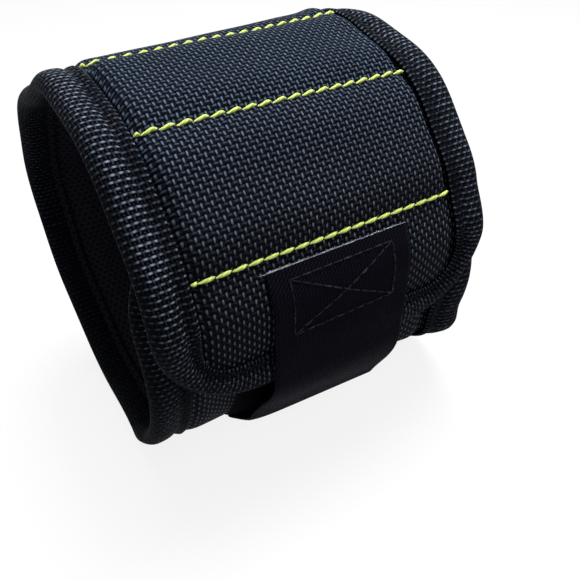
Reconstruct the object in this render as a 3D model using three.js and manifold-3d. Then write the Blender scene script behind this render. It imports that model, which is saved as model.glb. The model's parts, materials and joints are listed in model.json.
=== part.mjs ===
// A magnetic wristband, closed round a wrist: a padded fabric band with five magnet pockets,
// its edge bound with woven tape, held shut by a hook strap that grips a loop panel.
// Every layer is drawn on the band laid flat, cut at the creases, and folded into the closed tube.
// On the flat band x runs across, y runs along from the strap end, and z points outward from the tape's face.
import * as THREE from 'three';
import { mergeVertices } from 'three/addons/utils/BufferGeometryUtils.js';
import Module from 'manifold-3d';

// Driving dimensions of the flat band, in millimetres.
const BAND_WIDTH = 90;
const CORNER_RADIUS = 24;
const STRAP_END_LENGTH = 34;
const POCKET_PITCH = 31.2;
const LOOP_FRONT_LENGTH = 32;
const LOOP_TIP_LENGTH = 41;

// Bend of each crease in the closed band, in degrees: the pockets' stitch lines, then the folds of the loop end.
const SEAM_BENDS = [43, 36, 43, 31, 46, 36];
const FOLD_BENDS = [38, 72, 30];
const CREASE_GAP = 0.4;
const CLEARANCE = 0.3;

// Place of the loop end's last fold: how far under the strap end, and how far in from the band's edge.
const TUCK_GAP = 1.13;
const TUCK_INSET = 0.56;

// Layers.
const TAPE_THICKNESS = 0.8;
const TAPE_WIDTH = 10;
const SHELL_THICKNESS = 1;
const LINING_THICKNESS = 1.2;
const LINING_SWELL = 0.9;
const PADDING_THICKNESS = 1.3;
const PLAIN_RISE = 0.7;
const SIDE_REACH = 10;
const SWELL_INSET = 1.3;

// What the layers hold.
const MAGNET_LENGTH = 40;
const MAGNET_WIDTH = 12;
const MAGNET_THICKNESS = 1.3;
const MAGNET_CORNER = 1.5;
const LOOP_WIDTH = 44.5;
const LOOP_THICKNESS = 1.1;
const LOOP_SEAM_GAP = 9.6;
const LOOP_END_GAP = 0.4;

// Thread of the pocket seams.
const STITCH_COUNT = 18;
const SEAM_END_GAP = 0.7;
const THREAD_RADIUS = 0.45;
const THREAD_WAIST = 0.28;
const THREAD_SIDES = 5;
const THREAD_DIP = 0.25;

// Closing strap.
const STRAP_WIDTH = 38;
const STRAP_THICKNESS = 1;
const STRAP_SEAM_GAP = 4.6;
const STRAP_OVERHANG = 1.2;
const STRAP_DIVE = 45;
const STRAP_TIP_GAP = 0.6;
const HOOK_THICKNESS = 0.5;
const HOOK_SIDE_MARGIN = 2;
const HOOK_END_MARGIN = 1.5;
const BOX_MARGIN = 3;
const BOX_THREAD = 0.8;
const BOX_THREAD_HEIGHT = 0.4;

// Heights of the layers, worked out from the tape's outer face down.
const SHELL_TOP = -TAPE_THICKNESS - CLEARANCE;
const SHELL_BOTTOM = SHELL_TOP - SHELL_THICKNESS;
const LINING_TOP = SHELL_BOTTOM - CLEARANCE;
const LINING_BOTTOM = LINING_TOP - LINING_THICKNESS;
const SLOT_FLOOR = LINING_BOTTOM - CLEARANCE;
const BAND_FLOOR = SLOT_FLOOR - TAPE_THICKNESS;
const LOOP_FLOOR = SHELL_TOP + PLAIN_RISE + CLEARANCE;
const LOOP_TOP = LOOP_FLOOR + LOOP_THICKNESS;
const ANCHOR_TOP = CLEARANCE + STRAP_THICKNESS;
const LAYER_INSET = TAPE_THICKNESS + CLEARANCE;
const POCKET_RISE = MAGNET_THICKNESS + PADDING_THICKNESS;
const SEAM_REACH = POCKET_PITCH / 3;
const PAST = 8;

// The segments between the creases.
const POCKET_COUNT = SEAM_BENDS.length - 1;
const bends = [...SEAM_BENDS, ...FOLD_BENDS];
const pocketNames = Array.from({ length: POCKET_COUNT }, (_, i) => `pocket_${i + 1}`);
const segmentNames = ['strap_end', ...pocketNames, 'loop_back', 'loop_base', 'loop_front', 'loop_tip'];
const BACK_SEGMENT = segmentNames.indexOf('loop_back');
const ROOT_SEGMENT = segmentNames.indexOf('loop_base');
const FRONT_SEGMENT = segmentNames.indexOf('loop_front');
const LAST_SEGMENT = segmentNames.length - 1;
const radians = THREE.MathUtils.degToRad;

// Side view of the closed band, measured along the strap end from the band's edge and outward from its face.
function turnBefore(index) {
  return bends.slice(0, index).reduce((sum, bend) => sum + bend, 0);
}

function heading(index) {
  const turn = radians(turnBefore(index));
  return new THREE.Vector2(Math.cos(turn), -Math.sin(turn));
}

// Two lengths of the loop end follow from bringing the band round to its tucked fold.
const tuckedFold = new THREE.Vector2(TUCK_INSET, BAND_FLOOR - LOOP_TOP - TUCK_GAP);
const frontHeading = heading(FRONT_SEGMENT);
const span = tuckedFold.clone().addScaledVector(heading(0), -STRAP_END_LENGTH);
pocketNames.forEach((_, i) => span.addScaledVector(heading(i + 1), -POCKET_PITCH));
span.addScaledVector(frontHeading, -LOOP_FRONT_LENGTH);
const backHeading = heading(BACK_SEGMENT);
const baseHeading = heading(ROOT_SEGMENT);
const loopBackLength = span.cross(baseHeading) / backHeading.cross(baseHeading);
const loopBaseLength = backHeading.cross(span) / backHeading.cross(baseHeading);

// Creases of the flat band.
const seams = SEAM_BENDS.map((_, i) => STRAP_END_LENGTH + i * POCKET_PITCH);
const lastSeam = seams[POCKET_COUNT];
const backFold = lastSeam + loopBackLength;
const baseFold = backFold + loopBaseLength;
const frontFold = baseFold + LOOP_FRONT_LENGTH;
const creases = [...seams, backFold, baseFold, frontFold];
const bandLength = frontFold + LOOP_TIP_LENGTH;

const segments = segmentNames.map((name, index) => ({
  name,
  from: index === 0 ? 0 : creases[index - 1],
  to: index === LAST_SEGMENT ? bandLength : creases[index],
  bendFrom: index === 0 ? null : bends[index - 1],
  bendTo: index === LAST_SEGMENT ? null : bends[index],
  datum: index < ROOT_SEGMENT ? creases[index] : creases[index - 1],
}));

// The strap: sewn short of the first seam, it dives over the band's end and lies level on the front of the loop panel.
const anchorLength = STRAP_END_LENGTH - STRAP_SEAM_GAP;
const strapLevel = STRAP_DIVE - (360 - turnBefore(FRONT_SEGMENT));
const strapHinge = new THREE.Vector2(-STRAP_OVERHANG, ANCHOR_TOP);
const frontOutward = new THREE.Vector2(-frontHeading.y, frontHeading.x);
const gripHeight = LOOP_TOP + HOOK_THICKNESS + STRAP_THICKNESS + 2 * CLEARANCE;
const strapDrop = strapHinge.clone().sub(tuckedFold).dot(frontOutward) - gripHeight;
const diveLength = strapDrop / Math.sin(radians(strapLevel));
const diveHeading = new THREE.Vector2(-Math.cos(radians(STRAP_DIVE)), -Math.sin(radians(STRAP_DIVE)));
const strapKnee = strapHinge.clone().addScaledVector(diveHeading, diveLength);
const strapRun = strapKnee.clone().sub(tuckedFold).dot(frontHeading) + LOOP_FRONT_LENGTH - STRAP_TIP_GAP;

// Colours.
function fabric(color, roughness) {
  return new THREE.MeshStandardMaterial({ color, roughness, metalness: 0 });
}
const nylon = () => fabric(0x23272f, 0.6);
const tape = () => fabric(0x2b2f37, 0.7);
const mesh = () => fabric(0x18161b, 0.9);
const loopPile = () => fabric(0x1b1c20, 0.95);
const strapWeave = () => fabric(0x141518, 0.8);
const hookTape = () => fabric(0x1f2023, 0.7);
const seamThread = () => fabric(0xd7e664, 0.6);
const boxThread = () => fabric(0x5a5d63, 0.7);
const plating = () => new THREE.MeshStandardMaterial({ color: 0xb4b7bc, roughness: 0.3, metalness: 1 });

// Solids for cutting and joining.
const wasm = await Module();
wasm.setup();

function solid(geometry) {
  const bare = geometry.clone();
  bare.deleteAttribute('normal');
  bare.deleteAttribute('uv');
  const merged = mergeVertices(bare, 1e-4);
  const vertProperties = new Float32Array(merged.attributes.position.array);
  const triVerts = new Uint32Array(merged.index.array);
  return new wasm.Manifold(new wasm.Mesh({ numProp: 3, vertProperties, triVerts }));
}

function geometryOf(made) {
  const { vertProperties, triVerts } = made.getMesh();
  const indexed = new THREE.BufferGeometry();
  indexed.setAttribute('position', new THREE.BufferAttribute(new Float32Array(vertProperties), 3));
  indexed.setIndex(new THREE.BufferAttribute(new Uint32Array(triVerts), 1));
  const geometry = indexed.toNonIndexed();
  geometry.computeVertexNormals();
  return geometry;
}

// A plate of the given plan outline between two heights.
function plate(outline, bottom, top) {
  const options = { depth: top - bottom, bevelEnabled: false, curveSegments: 6 };
  return new THREE.ExtrudeGeometry(outline, options).translate(0, 0, bottom);
}

// A bar with the given section, drawn along and outward, running the given width across the band.
function bar(section, width) {
  const geometry = new THREE.ExtrudeGeometry(section, { depth: width, bevelEnabled: false });
  const alongToY = new THREE.Matrix4().set(0, 0, 1, -width / 2, 1, 0, 0, 0, 0, 1, 0, 0, 0, 0, 0, 1);
  return geometry.applyMatrix4(alongToY);
}

function polygon(points) {
  return new THREE.Shape(points.map(([a, b]) => new THREE.Vector2(a, b)));
}

function rectangle(x0, y0, x1, y1) {
  return polygon([[x0, y0], [x1, y0], [x1, y1], [x0, y1]]);
}

function roundedRectangle(x0, y0, x1, y1, r) {
  const shape = new THREE.Shape();
  shape.absarc(x1 - r, y0 + r, r, -Math.PI / 2, 0);
  shape.absarc(x1 - r, y1 - r, r, 0, Math.PI / 2);
  shape.absarc(x0 + r, y1 - r, r, Math.PI / 2, Math.PI);
  shape.absarc(x0 + r, y0 + r, r, Math.PI, Math.PI * 1.5);
  shape.closePath();
  return shape;
}

// The band's own outline, drawn in from its edge.
function bandOutline(inset) {
  const half = BAND_WIDTH / 2 - inset;
  return roundedRectangle(-half, inset, half, bandLength - inset, CORNER_RADIUS - inset);
}

// How far a point of the flat band lies inside its rounded edge.
function depthInside(x, y) {
  const across = Math.abs(x) - (BAND_WIDTH / 2 - CORNER_RADIUS);
  const along = Math.abs(y - bandLength / 2) - (bandLength / 2 - CORNER_RADIUS);
  const beyond = Math.hypot(Math.max(across, 0), Math.max(along, 0));
  return CORNER_RADIUS - beyond - Math.min(Math.max(across, along), 0);
}

// Fullness of a stuffed layer at a distance from the seam that holds it down.
function swell(distance, reach) {
  const left = 1 - Math.min(Math.max(distance, 0) / reach, 1);
  return 1 - left ** 3;
}

function sideSwell(x, y) {
  return swell(depthInside(x, y) - TAPE_WIDTH - SWELL_INSET, SIDE_REACH);
}

function seamSwell(y) {
  const nearest = Math.min(...seams.map((seam) => Math.abs(y - seam)));
  return swell(nearest, SEAM_REACH);
}

// A closed sheet over a grid of places across and along, between an upper and a lower surface.
function quilt(across, along, upper, lower) {
  const columns = across.length;
  const rows = along.length;
  const points = [];
  for (const surface of [upper, lower]) {
    for (const y of along) {
      for (const x of across) {
        points.push(x, y, surface(x, y));
      }
    }
  }
  const top = (i, j) => j * columns + i;
  const bottom = (i, j) => rows * columns + top(i, j);
  const faces = [];
  const quad = (a, b, c, d) => faces.push(a, b, c, a, c, d);
  for (let j = 0; j < rows - 1; j += 1) {
    for (let i = 0; i < columns - 1; i += 1) {
      quad(top(i, j), top(i + 1, j), top(i + 1, j + 1), top(i, j + 1));
      quad(bottom(i, j), bottom(i, j + 1), bottom(i + 1, j + 1), bottom(i + 1, j));
    }
    quad(top(0, j), top(0, j + 1), bottom(0, j + 1), bottom(0, j));
    quad(top(columns - 1, j), bottom(columns - 1, j), bottom(columns - 1, j + 1), top(columns - 1, j + 1));
  }
  for (let i = 0; i < columns - 1; i += 1) {
    quad(top(i, 0), bottom(i, 0), bottom(i + 1, 0), top(i + 1, 0));
    quad(top(i, rows - 1), top(i + 1, rows - 1), bottom(i + 1, rows - 1), bottom(i, rows - 1));
  }
  const geometry = new THREE.BufferGeometry();
  geometry.setAttribute('position', new THREE.Float32BufferAttribute(points, 3));
  geometry.setIndex(faces);
  return geometry;
}

// Grid lines: across, close together where the layer climbs from the tape; along, close to each seam.
const layerHalf = BAND_WIDTH / 2 - LAYER_INSET;
const climbFoot = BAND_WIDTH / 2 - TAPE_WIDTH - SWELL_INSET;
const climbs = [0, 0.15, 0.5, 1].map((share) => climbFoot - share * SIDE_REACH);
const gridAcross = [layerHalf, ...climbs, ...climbs.map((x) => -x).reverse(), -layerHalf].reverse();
const gridSteps = [0, 0.12, 0.45, 1];

function gridAlong({ from, to }) {
  const nearStart = gridSteps.map((share) => from + share * SEAM_REACH);
  const nearEnd = gridSteps.map((share) => to - share * SEAM_REACH).reverse();
  return [...nearStart, ...nearEnd];
}

// The room of one segment: its sides lean in below the tape's face so that the folded layers clear.
function wedge({ from, to, bendFrom, bendTo }) {
  const lean = (bend) => (bend === null ? 0 : PAST * Math.tan(radians(bend) / 2));
  const start = bendFrom === null ? from - PAST : from + CREASE_GAP / 2;
  const end = bendTo === null ? to + PAST : to - CREASE_GAP / 2;
  const section = polygon([
    [start, PAST],
    [start, 0],
    [start + lean(bendFrom), -PAST],
    [end - lean(bendTo), -PAST],
    [end, 0],
    [end, PAST],
  ]);
  return solid(bar(section, BAND_WIDTH + 2 * PAST));
}

// Groups: the segment at the foot is the root, and each crease turns the next segment about its own line.
const wristband = new THREE.Group();
const groups = [];

function addCrease(parent, along, bend) {
  const group = new THREE.Group();
  group.position.y = along;
  group.rotation.x = radians(bend);
  parent.add(group);
  return group;
}

groups[ROOT_SEGMENT] = new THREE.Group();
groups[ROOT_SEGMENT].position.z = LOOP_TOP;
groups[ROOT_SEGMENT].rotation.x = Math.PI;
wristband.add(groups[ROOT_SEGMENT]);
for (let k = ROOT_SEGMENT - 1; k >= 0; k -= 1) {
  groups[k] = addCrease(groups[k + 1], segments[k].datum - segments[k + 1].datum, bends[k]);
}
for (let k = ROOT_SEGMENT + 1; k <= LAST_SEGMENT; k += 1) {
  groups[k] = addCrease(groups[k - 1], segments[k].datum - segments[k - 1].datum, -bends[k - 1]);
}

// One named piece, drawn on the flat band and placed in its segment's group.
function addPiece(index, name, geometry, material) {
  const piece = new THREE.Mesh(geometry.translate(0, -segments[index].datum, 0), material);
  piece.name = name;
  groups[index].add(piece);
}

// Tape folded round the whole edge, with a slot for the layers.
function bindingRing() {
  const ring = solid(plate(bandOutline(0), BAND_FLOOR, 0));
  const slot = solid(plate(bandOutline(TAPE_THICKNESS), SLOT_FLOOR, -TAPE_THICKNESS));
  const window = solid(plate(bandOutline(TAPE_WIDTH), BAND_FLOOR - PAST, PAST));
  return ring.subtract(slot).subtract(window);
}

function addBinding(index, ring, room) {
  const segment = segments[index];
  const whole = ring.intersect(room);
  if (index === 0 || index === LAST_SEGMENT) {
    addPiece(index, `binding_${segment.name}`, geometryOf(whole), tape());
    return;
  }
  for (const [side, sign] of [['left', -1], ['right', 1]]) {
    const far = sign * BAND_WIDTH;
    const half = solid(plate(rectangle(Math.min(0, far), 0, Math.max(0, far), bandLength), -PAST, PAST));
    addPiece(index, `binding_${side}_${segment.name}`, geometryOf(whole.intersect(half)), tape());
  }
}

// Outer nylon, stuffed over the pockets and flatter elsewhere.
function addShell(index, room, within) {
  const segment = segments[index];
  const rise = segment.name.startsWith('pocket') ? POCKET_RISE : PLAIN_RISE;
  const upper = (x, y) => SHELL_TOP + rise * sideSwell(x, y) * seamSwell(y);
  const lower = (x, y) => upper(x, y) - SHELL_THICKNESS;
  const sheet = solid(quilt(gridAcross, gridAlong(segment), upper, lower));
  addPiece(index, `shell_${segment.name}`, geometryOf(sheet.intersect(within).intersect(room)), nylon());
}

// Spacer-mesh lining against the wrist.
function addLining(index, room, within) {
  const segment = segments[index];
  const upper = () => LINING_TOP;
  const lower = (x, y) => LINING_BOTTOM - LINING_SWELL * sideSwell(x, y);
  const sheet = solid(quilt(gridAcross, gridAlong(segment), upper, lower));
  addPiece(index, `lining_${segment.name}`, geometryOf(sheet.intersect(within).intersect(room)), mesh());
}

function addMagnet(index) {
  const { from, to, name } = segments[index];
  const middle = (from + to) / 2;
  const outline = roundedRectangle(
    -MAGNET_LENGTH / 2,
    middle - MAGNET_WIDTH / 2,
    MAGNET_LENGTH / 2,
    middle + MAGNET_WIDTH / 2,
    MAGNET_CORNER,
  );
  const floor = LINING_TOP + CLEARANCE;
  addPiece(index, `magnet_${name}`, plate(outline, floor, floor + MAGNET_THICKNESS), plating());
}

// Loop panel of the closure, cut where the band folds.
function addLoop(index, room) {
  const start = lastSeam + LOOP_SEAM_GAP;
  const end = bandLength - TAPE_WIDTH - LOOP_END_GAP;
  const panel = plate(rectangle(-LOOP_WIDTH / 2, start, LOOP_WIDTH / 2, end), LOOP_FLOOR, LOOP_TOP);
  const piece = geometryOf(solid(panel).intersect(room));
  addPiece(index, `pile_${segments[index].name}`, piece, loopPile());
}

// One pocket seam: a thread that fills out along each stitch and dips to each needle hole.
function addSeam(index, number) {
  const length = BAND_WIDTH - 2 * (TAPE_WIDTH + SEAM_END_GAP);
  const pitch = length / STITCH_COUNT;
  const holeHeight = SHELL_TOP + CLEARANCE + THREAD_WAIST;
  const points = [];
  for (let k = 0; k <= 2 * STITCH_COUNT; k += 1) {
    const atHole = k % 2 === 0;
    const radius = atHole ? THREAD_WAIST : THREAD_RADIUS;
    const height = holeHeight + (atHole ? 0 : THREAD_DIP);
    for (let side = 0; side < THREAD_SIDES; side += 1) {
      const turn = (2 * Math.PI * side) / THREAD_SIDES;
      const x = (k * pitch - length) / 2;
      points.push(x, seams[number - 1] + radius * Math.cos(turn), height + radius * Math.sin(turn));
    }
  }
  const faces = [];
  const rings = 2 * STITCH_COUNT + 1;
  const corner = (ring, side) => ring * THREAD_SIDES + (side % THREAD_SIDES);
  for (let ring = 0; ring < rings - 1; ring += 1) {
    for (let side = 0; side < THREAD_SIDES; side += 1) {
      const [a, b] = [corner(ring, side), corner(ring, side + 1)];
      const [c, d] = [corner(ring + 1, side + 1), corner(ring + 1, side)];
      faces.push(a, b, c, a, c, d);
    }
  }
  for (let side = 1; side < THREAD_SIDES - 1; side += 1) {
    faces.push(corner(0, 0), corner(0, side + 1), corner(0, side));
    faces.push(corner(rings - 1, 0), corner(rings - 1, side), corner(rings - 1, side + 1));
  }
  const indexed = new THREE.BufferGeometry();
  indexed.setAttribute('position', new THREE.Float32BufferAttribute(points, 3));
  indexed.setIndex(faces);
  addPiece(index, `seam_${number}`, geometryOf(solid(indexed)), seamThread());
}

// Sewn part of the strap and the boxed cross of thread that holds it.
function addAnchor() {
  const half = STRAP_WIDTH / 2;
  const outline = rectangle(-half, CREASE_GAP / 2 - STRAP_OVERHANG, half, anchorLength);
  addPiece(0, 'strap_anchor', plate(outline, CLEARANCE, ANCHOR_TOP), strapWeave());
  const floor = ANCHOR_TOP + CLEARANCE;
  const top = floor + BOX_THREAD_HEIGHT;
  const outer = rectangle(-half + BOX_MARGIN, BOX_MARGIN, half - BOX_MARGIN, anchorLength - BOX_MARGIN);
  const inset = BOX_MARGIN + BOX_THREAD;
  const inner = rectangle(-half + inset, inset, half - inset, anchorLength - inset);
  outer.holes.push(new THREE.Path(inner.getPoints().reverse()));
  let box = solid(plate(outer, floor, top));
  const across = STRAP_WIDTH - 2 * BOX_MARGIN - BOX_THREAD;
  const along = anchorLength - 2 * BOX_MARGIN - BOX_THREAD;
  const reach = Math.hypot(across, along) / 2;
  for (const sign of [-1, 1]) {
    const diagonal = plate(rectangle(-reach, -BOX_THREAD / 2, reach, BOX_THREAD / 2), floor, top);
    diagonal.rotateZ(sign * Math.atan2(along, across)).translate(0, anchorLength / 2, 0);
    box = box.add(solid(diagonal));
  }
  addPiece(0, 'strap_box_stitch', geometryOf(box), boxThread());
}

// Free end of the strap: it dives over the band's end, then runs along the loop panel with its hooks inward.
function addStrap() {
  const strap = new THREE.Group();
  strap.position.set(0, -STRAP_END_LENGTH - STRAP_OVERHANG, ANCHOR_TOP);
  strap.rotation.x = radians(STRAP_DIVE);
  groups[0].add(strap);

  const start = CREASE_GAP / 2;
  const level = radians(strapLevel);
  const along = new THREE.Vector2(-Math.cos(level), Math.sin(level));
  const inward = new THREE.Vector2(-Math.sin(level), -Math.cos(level));
  const knee = new THREE.Vector2(-diveLength, 0);
  const place = (run, depth) => knee.clone().addScaledVector(along, run).addScaledVector(inward, depth);
  const kneeInset = STRAP_THICKNESS * Math.tan(level / 2);
  const rootLean = STRAP_THICKNESS * Math.tan(radians(STRAP_DIVE) / 2);
  const weave = new THREE.Shape([
    new THREE.Vector2(-start, 0),
    knee,
    place(strapRun, 0),
    place(strapRun, STRAP_THICKNESS),
    new THREE.Vector2(-diveLength - kneeInset, -STRAP_THICKNESS),
    new THREE.Vector2(-start - rootLean, -STRAP_THICKNESS),
  ]);
  const free = new THREE.Mesh(bar(weave, STRAP_WIDTH), strapWeave());
  free.name = 'strap_free';
  const hookTop = STRAP_THICKNESS + CLEARANCE;
  const hookStart = HOOK_END_MARGIN + kneeInset;
  const hookEnd = strapRun - HOOK_END_MARGIN;
  const hookSection = new THREE.Shape([
    place(hookStart, hookTop),
    place(hookEnd, hookTop),
    place(hookEnd, hookTop + HOOK_THICKNESS),
    place(hookStart, hookTop + HOOK_THICKNESS),
  ]);
  const hooks = new THREE.Mesh(bar(hookSection, STRAP_WIDTH - 2 * HOOK_SIDE_MARGIN), hookTape());
  hooks.name = 'strap_hooks';
  strap.add(free, hooks);
}

const ring = bindingRing();
const within = solid(plate(bandOutline(LAYER_INSET), -PAST, PAST));
segments.forEach((segment, index) => {
  const room = wedge(segment);
  addShell(index, room, within);
  addLining(index, room, within);
  addBinding(index, ring, room);
  if (segment.name.startsWith('pocket')) {
    addMagnet(index);
  }
  if (segment.name.startsWith('loop')) {
    addLoop(index, room);
  }
  if (index <= POCKET_COUNT) {
    addSeam(index, index + 1);
  }
});
addAnchor();
addStrap();

// The origin is the middle of the footprint.
wristband.updateMatrixWorld(true);
const box = new THREE.Box3().setFromObject(wristband, true);
groups[ROOT_SEGMENT].position.y = -(box.min.y + box.max.y) / 2;

export default wristband;
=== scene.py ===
"""Magnetic wristband: a padded nylon band wrapped into a ring, with its strap closed on the loop panel."""

import json

import bpy
import numpy as np
from mathutils import Matrix, Vector


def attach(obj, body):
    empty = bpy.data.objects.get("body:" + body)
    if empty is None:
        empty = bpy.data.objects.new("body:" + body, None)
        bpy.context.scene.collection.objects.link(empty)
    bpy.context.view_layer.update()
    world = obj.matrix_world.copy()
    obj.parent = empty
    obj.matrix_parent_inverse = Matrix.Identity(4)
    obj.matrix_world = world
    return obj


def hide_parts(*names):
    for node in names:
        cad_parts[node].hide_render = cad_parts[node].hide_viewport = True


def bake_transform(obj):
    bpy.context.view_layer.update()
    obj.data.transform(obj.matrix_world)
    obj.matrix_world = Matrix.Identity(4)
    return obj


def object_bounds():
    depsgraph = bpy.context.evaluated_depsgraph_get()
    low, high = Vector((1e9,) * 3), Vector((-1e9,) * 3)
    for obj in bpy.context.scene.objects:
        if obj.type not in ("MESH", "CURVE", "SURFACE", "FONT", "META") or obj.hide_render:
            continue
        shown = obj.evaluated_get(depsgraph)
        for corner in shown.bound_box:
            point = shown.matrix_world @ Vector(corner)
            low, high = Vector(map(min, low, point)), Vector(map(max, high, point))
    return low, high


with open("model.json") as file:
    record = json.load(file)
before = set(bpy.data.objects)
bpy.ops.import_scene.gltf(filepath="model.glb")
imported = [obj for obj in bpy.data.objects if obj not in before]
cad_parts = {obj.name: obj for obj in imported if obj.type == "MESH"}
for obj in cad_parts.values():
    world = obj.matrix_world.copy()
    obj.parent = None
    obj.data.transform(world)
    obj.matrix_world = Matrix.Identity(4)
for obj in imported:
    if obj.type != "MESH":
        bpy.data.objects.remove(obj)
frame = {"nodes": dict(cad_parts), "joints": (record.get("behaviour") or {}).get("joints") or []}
CAD_BOX = [list(corner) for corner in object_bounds()]

bl_info = {
    "name": "Magnetic wristband",
    "version": (1, 0, 0),
    "blender": (4, 5, 0),
    "location": "3D View > Sidebar > Wristband",
    "description": "Makes the cloth, tape, stitching and strap of a magnetic wristband around its solids",
    "category": "Object",
}

MILLIMETRE = 0.001
FULL_TURN = 2 * np.pi
QUARTER_TURN = np.pi / 2
WHITE = (1.0, 1.0, 1.0)

SEAM_TOTAL = 6
POCKET_TOTAL = 5
CREASES = [f"seam_{number}_crease" for number in range(1, SEAM_TOTAL + 1)]
CREASES += ["band_unwrap", "front_fold_crease", "tip_fold_crease"]
LAST_CREASE = len(CREASES) - 1
PANELS = ["strap_end"] + [f"pocket_{number}" for number in range(1, POCKET_TOTAL + 1)]
PANELS += ["loop_back", "loop_base", "loop_front", "loop_tip"]
JOINTS = {joint["name"]: joint for joint in frame["joints"]}

# Fineness of the meshes: distances between rows, and numbers of columns and samples.
CLOTH_STEP = 0.7 * MILLIMETRE
CLOTH_COLUMNS = 110
LINING_STEP = 1.2 * MILLIMETRE
LINING_COLUMNS = 64
TAPE_STEP = 0.9 * MILLIMETRE
TAPE_SAMPLES = 22
PILE_STEP = 0.55 * MILLIMETRE
PILE_COLUMNS = 90
STRAP_STEP = 0.6 * MILLIMETRE
STRAP_COLUMNS = 48
HOOK_BASE_ROWS = 40
HOOK_BASE_COLUMNS = 24
ROUND_SAMPLES = 121
CURVE_SAMPLES = 41
LINE_SAMPLES = 60
FLOOR_SAMPLES = 101
ROUND_FINENESS = 1.5

# Pitches of the weaves, the place round the tape of the painted highlight on its crown, and the nylon's fade
# of painted highlights towards the ends.
NYLON_PITCH = 1.18 * MILLIMETRE
TAPE_COLUMN = 0.85 * MILLIMETRE
TAPE_ROW = 1.4 * MILLIMETRE
TAPE_CROWN = 6 * MILLIMETRE
MESH_COLUMN = 1.9 * MILLIMETRE
MESH_ROW = 1.6 * MILLIMETRE
TWILL_RIB = 1.15 * MILLIMETRE
TWILL_YARN = 0.9 * MILLIMETRE
SEAM_PLY = 1.6 * MILLIMETRE
BOX_PLY = 0.8 * MILLIMETRE
FRAY_PLY = 1 * MILLIMETRE
NYLON_FADE = (30 * MILLIMETRE, 75 * MILLIMETRE)
LOOP_END_SHIFT = 20 * MILLIMETRE

# The flare over the band's width: powers of the share of the half width, places on it, and shares lost.
FLAP_LEFT_LOSS = 0.5
FLAP_LIFT_POWER = 3
FRONT_LIFT_POWER = 1.2
FRONT_TIP_LOSS = 0.5
FRONT_EASE = 0.2
BUCKLE_FADE = 1.6
DROP_POWER = 6
DROP_RIGHT = 0.4
LIP_PLACE = 0.77
LIP_REACH = 0.12
LIP_MIDDLE = 0.65
LIP_RIGHT = 0.45
FILL_REACH = 0.4
PRESS_PLACE = 0.74
PRESS_REACH = 0.12

# The outer cloth: powers of its rises, the ripples' reach in stitches, and its waves in radians a metre.
POCKET_POWER = 2.4
SIDE_POWER = 3
RIPPLE_REACH = 0.8
TUCK_SLOPE = 0.15
WAVE_HEIGHT = 0.12 * MILLIMETRE
FIRST_WAVE = (210, 63)
SECOND_WAVE = (-47, 171)
WAVE_SHIFT = 1.3

# The strap: its end on the band, its air over tape and cloth, the step between them, and its hinge's bend.
STRAP_LEAVES = 1 * MILLIMETRE
TAPE_AIR = 0.25 * MILLIMETRE
CLOTH_AIR = 0.15 * MILLIMETRE
STEP_START = 8 * MILLIMETRE
STEP_REACH = 10 * MILLIMETRE
SLOPE_NUDGE = 0.4 * MILLIMETRE

# The cut yarns' number, largest lean, reach and lift, and radii, and the hooks' numbers and air.
FRAY_COUNT = 320
FRAY_LEAN = 2.4 * MILLIMETRE
FRAY_REACH = 0.35 * MILLIMETRE
FRAY_LIFT = 0.15 * MILLIMETRE
FRAY_RADII = (0.06 * MILLIMETRE, 0.17 * MILLIMETRE)
HOOK_COLUMNS = 18
HOOK_ROWS = 11
HOOK_AIR = 0.02 * MILLIMETRE


def length_value(name, description, millimetres):
    """A length property whose default is given in millimetres."""
    return bpy.props.FloatProperty(
        name=name, description=description, default=millimetres * MILLIMETRE, unit="LENGTH", precision=5
    )


def colour_value(name, description, colour):
    """A colour property, in linear red, green and blue."""
    return bpy.props.FloatVectorProperty(
        name=name, description=description, default=colour, subtype="COLOR", size=3, min=0.0, max=1.0
    )


def place_value(name, description, place):
    """A point property, in metres."""
    return bpy.props.FloatVectorProperty(name=name, description=description, default=place, subtype="XYZ")


def power_value(name, description, watts):
    """A lamp's power."""
    return bpy.props.FloatProperty(name=name, description=description, default=watts, unit="POWER")


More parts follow.
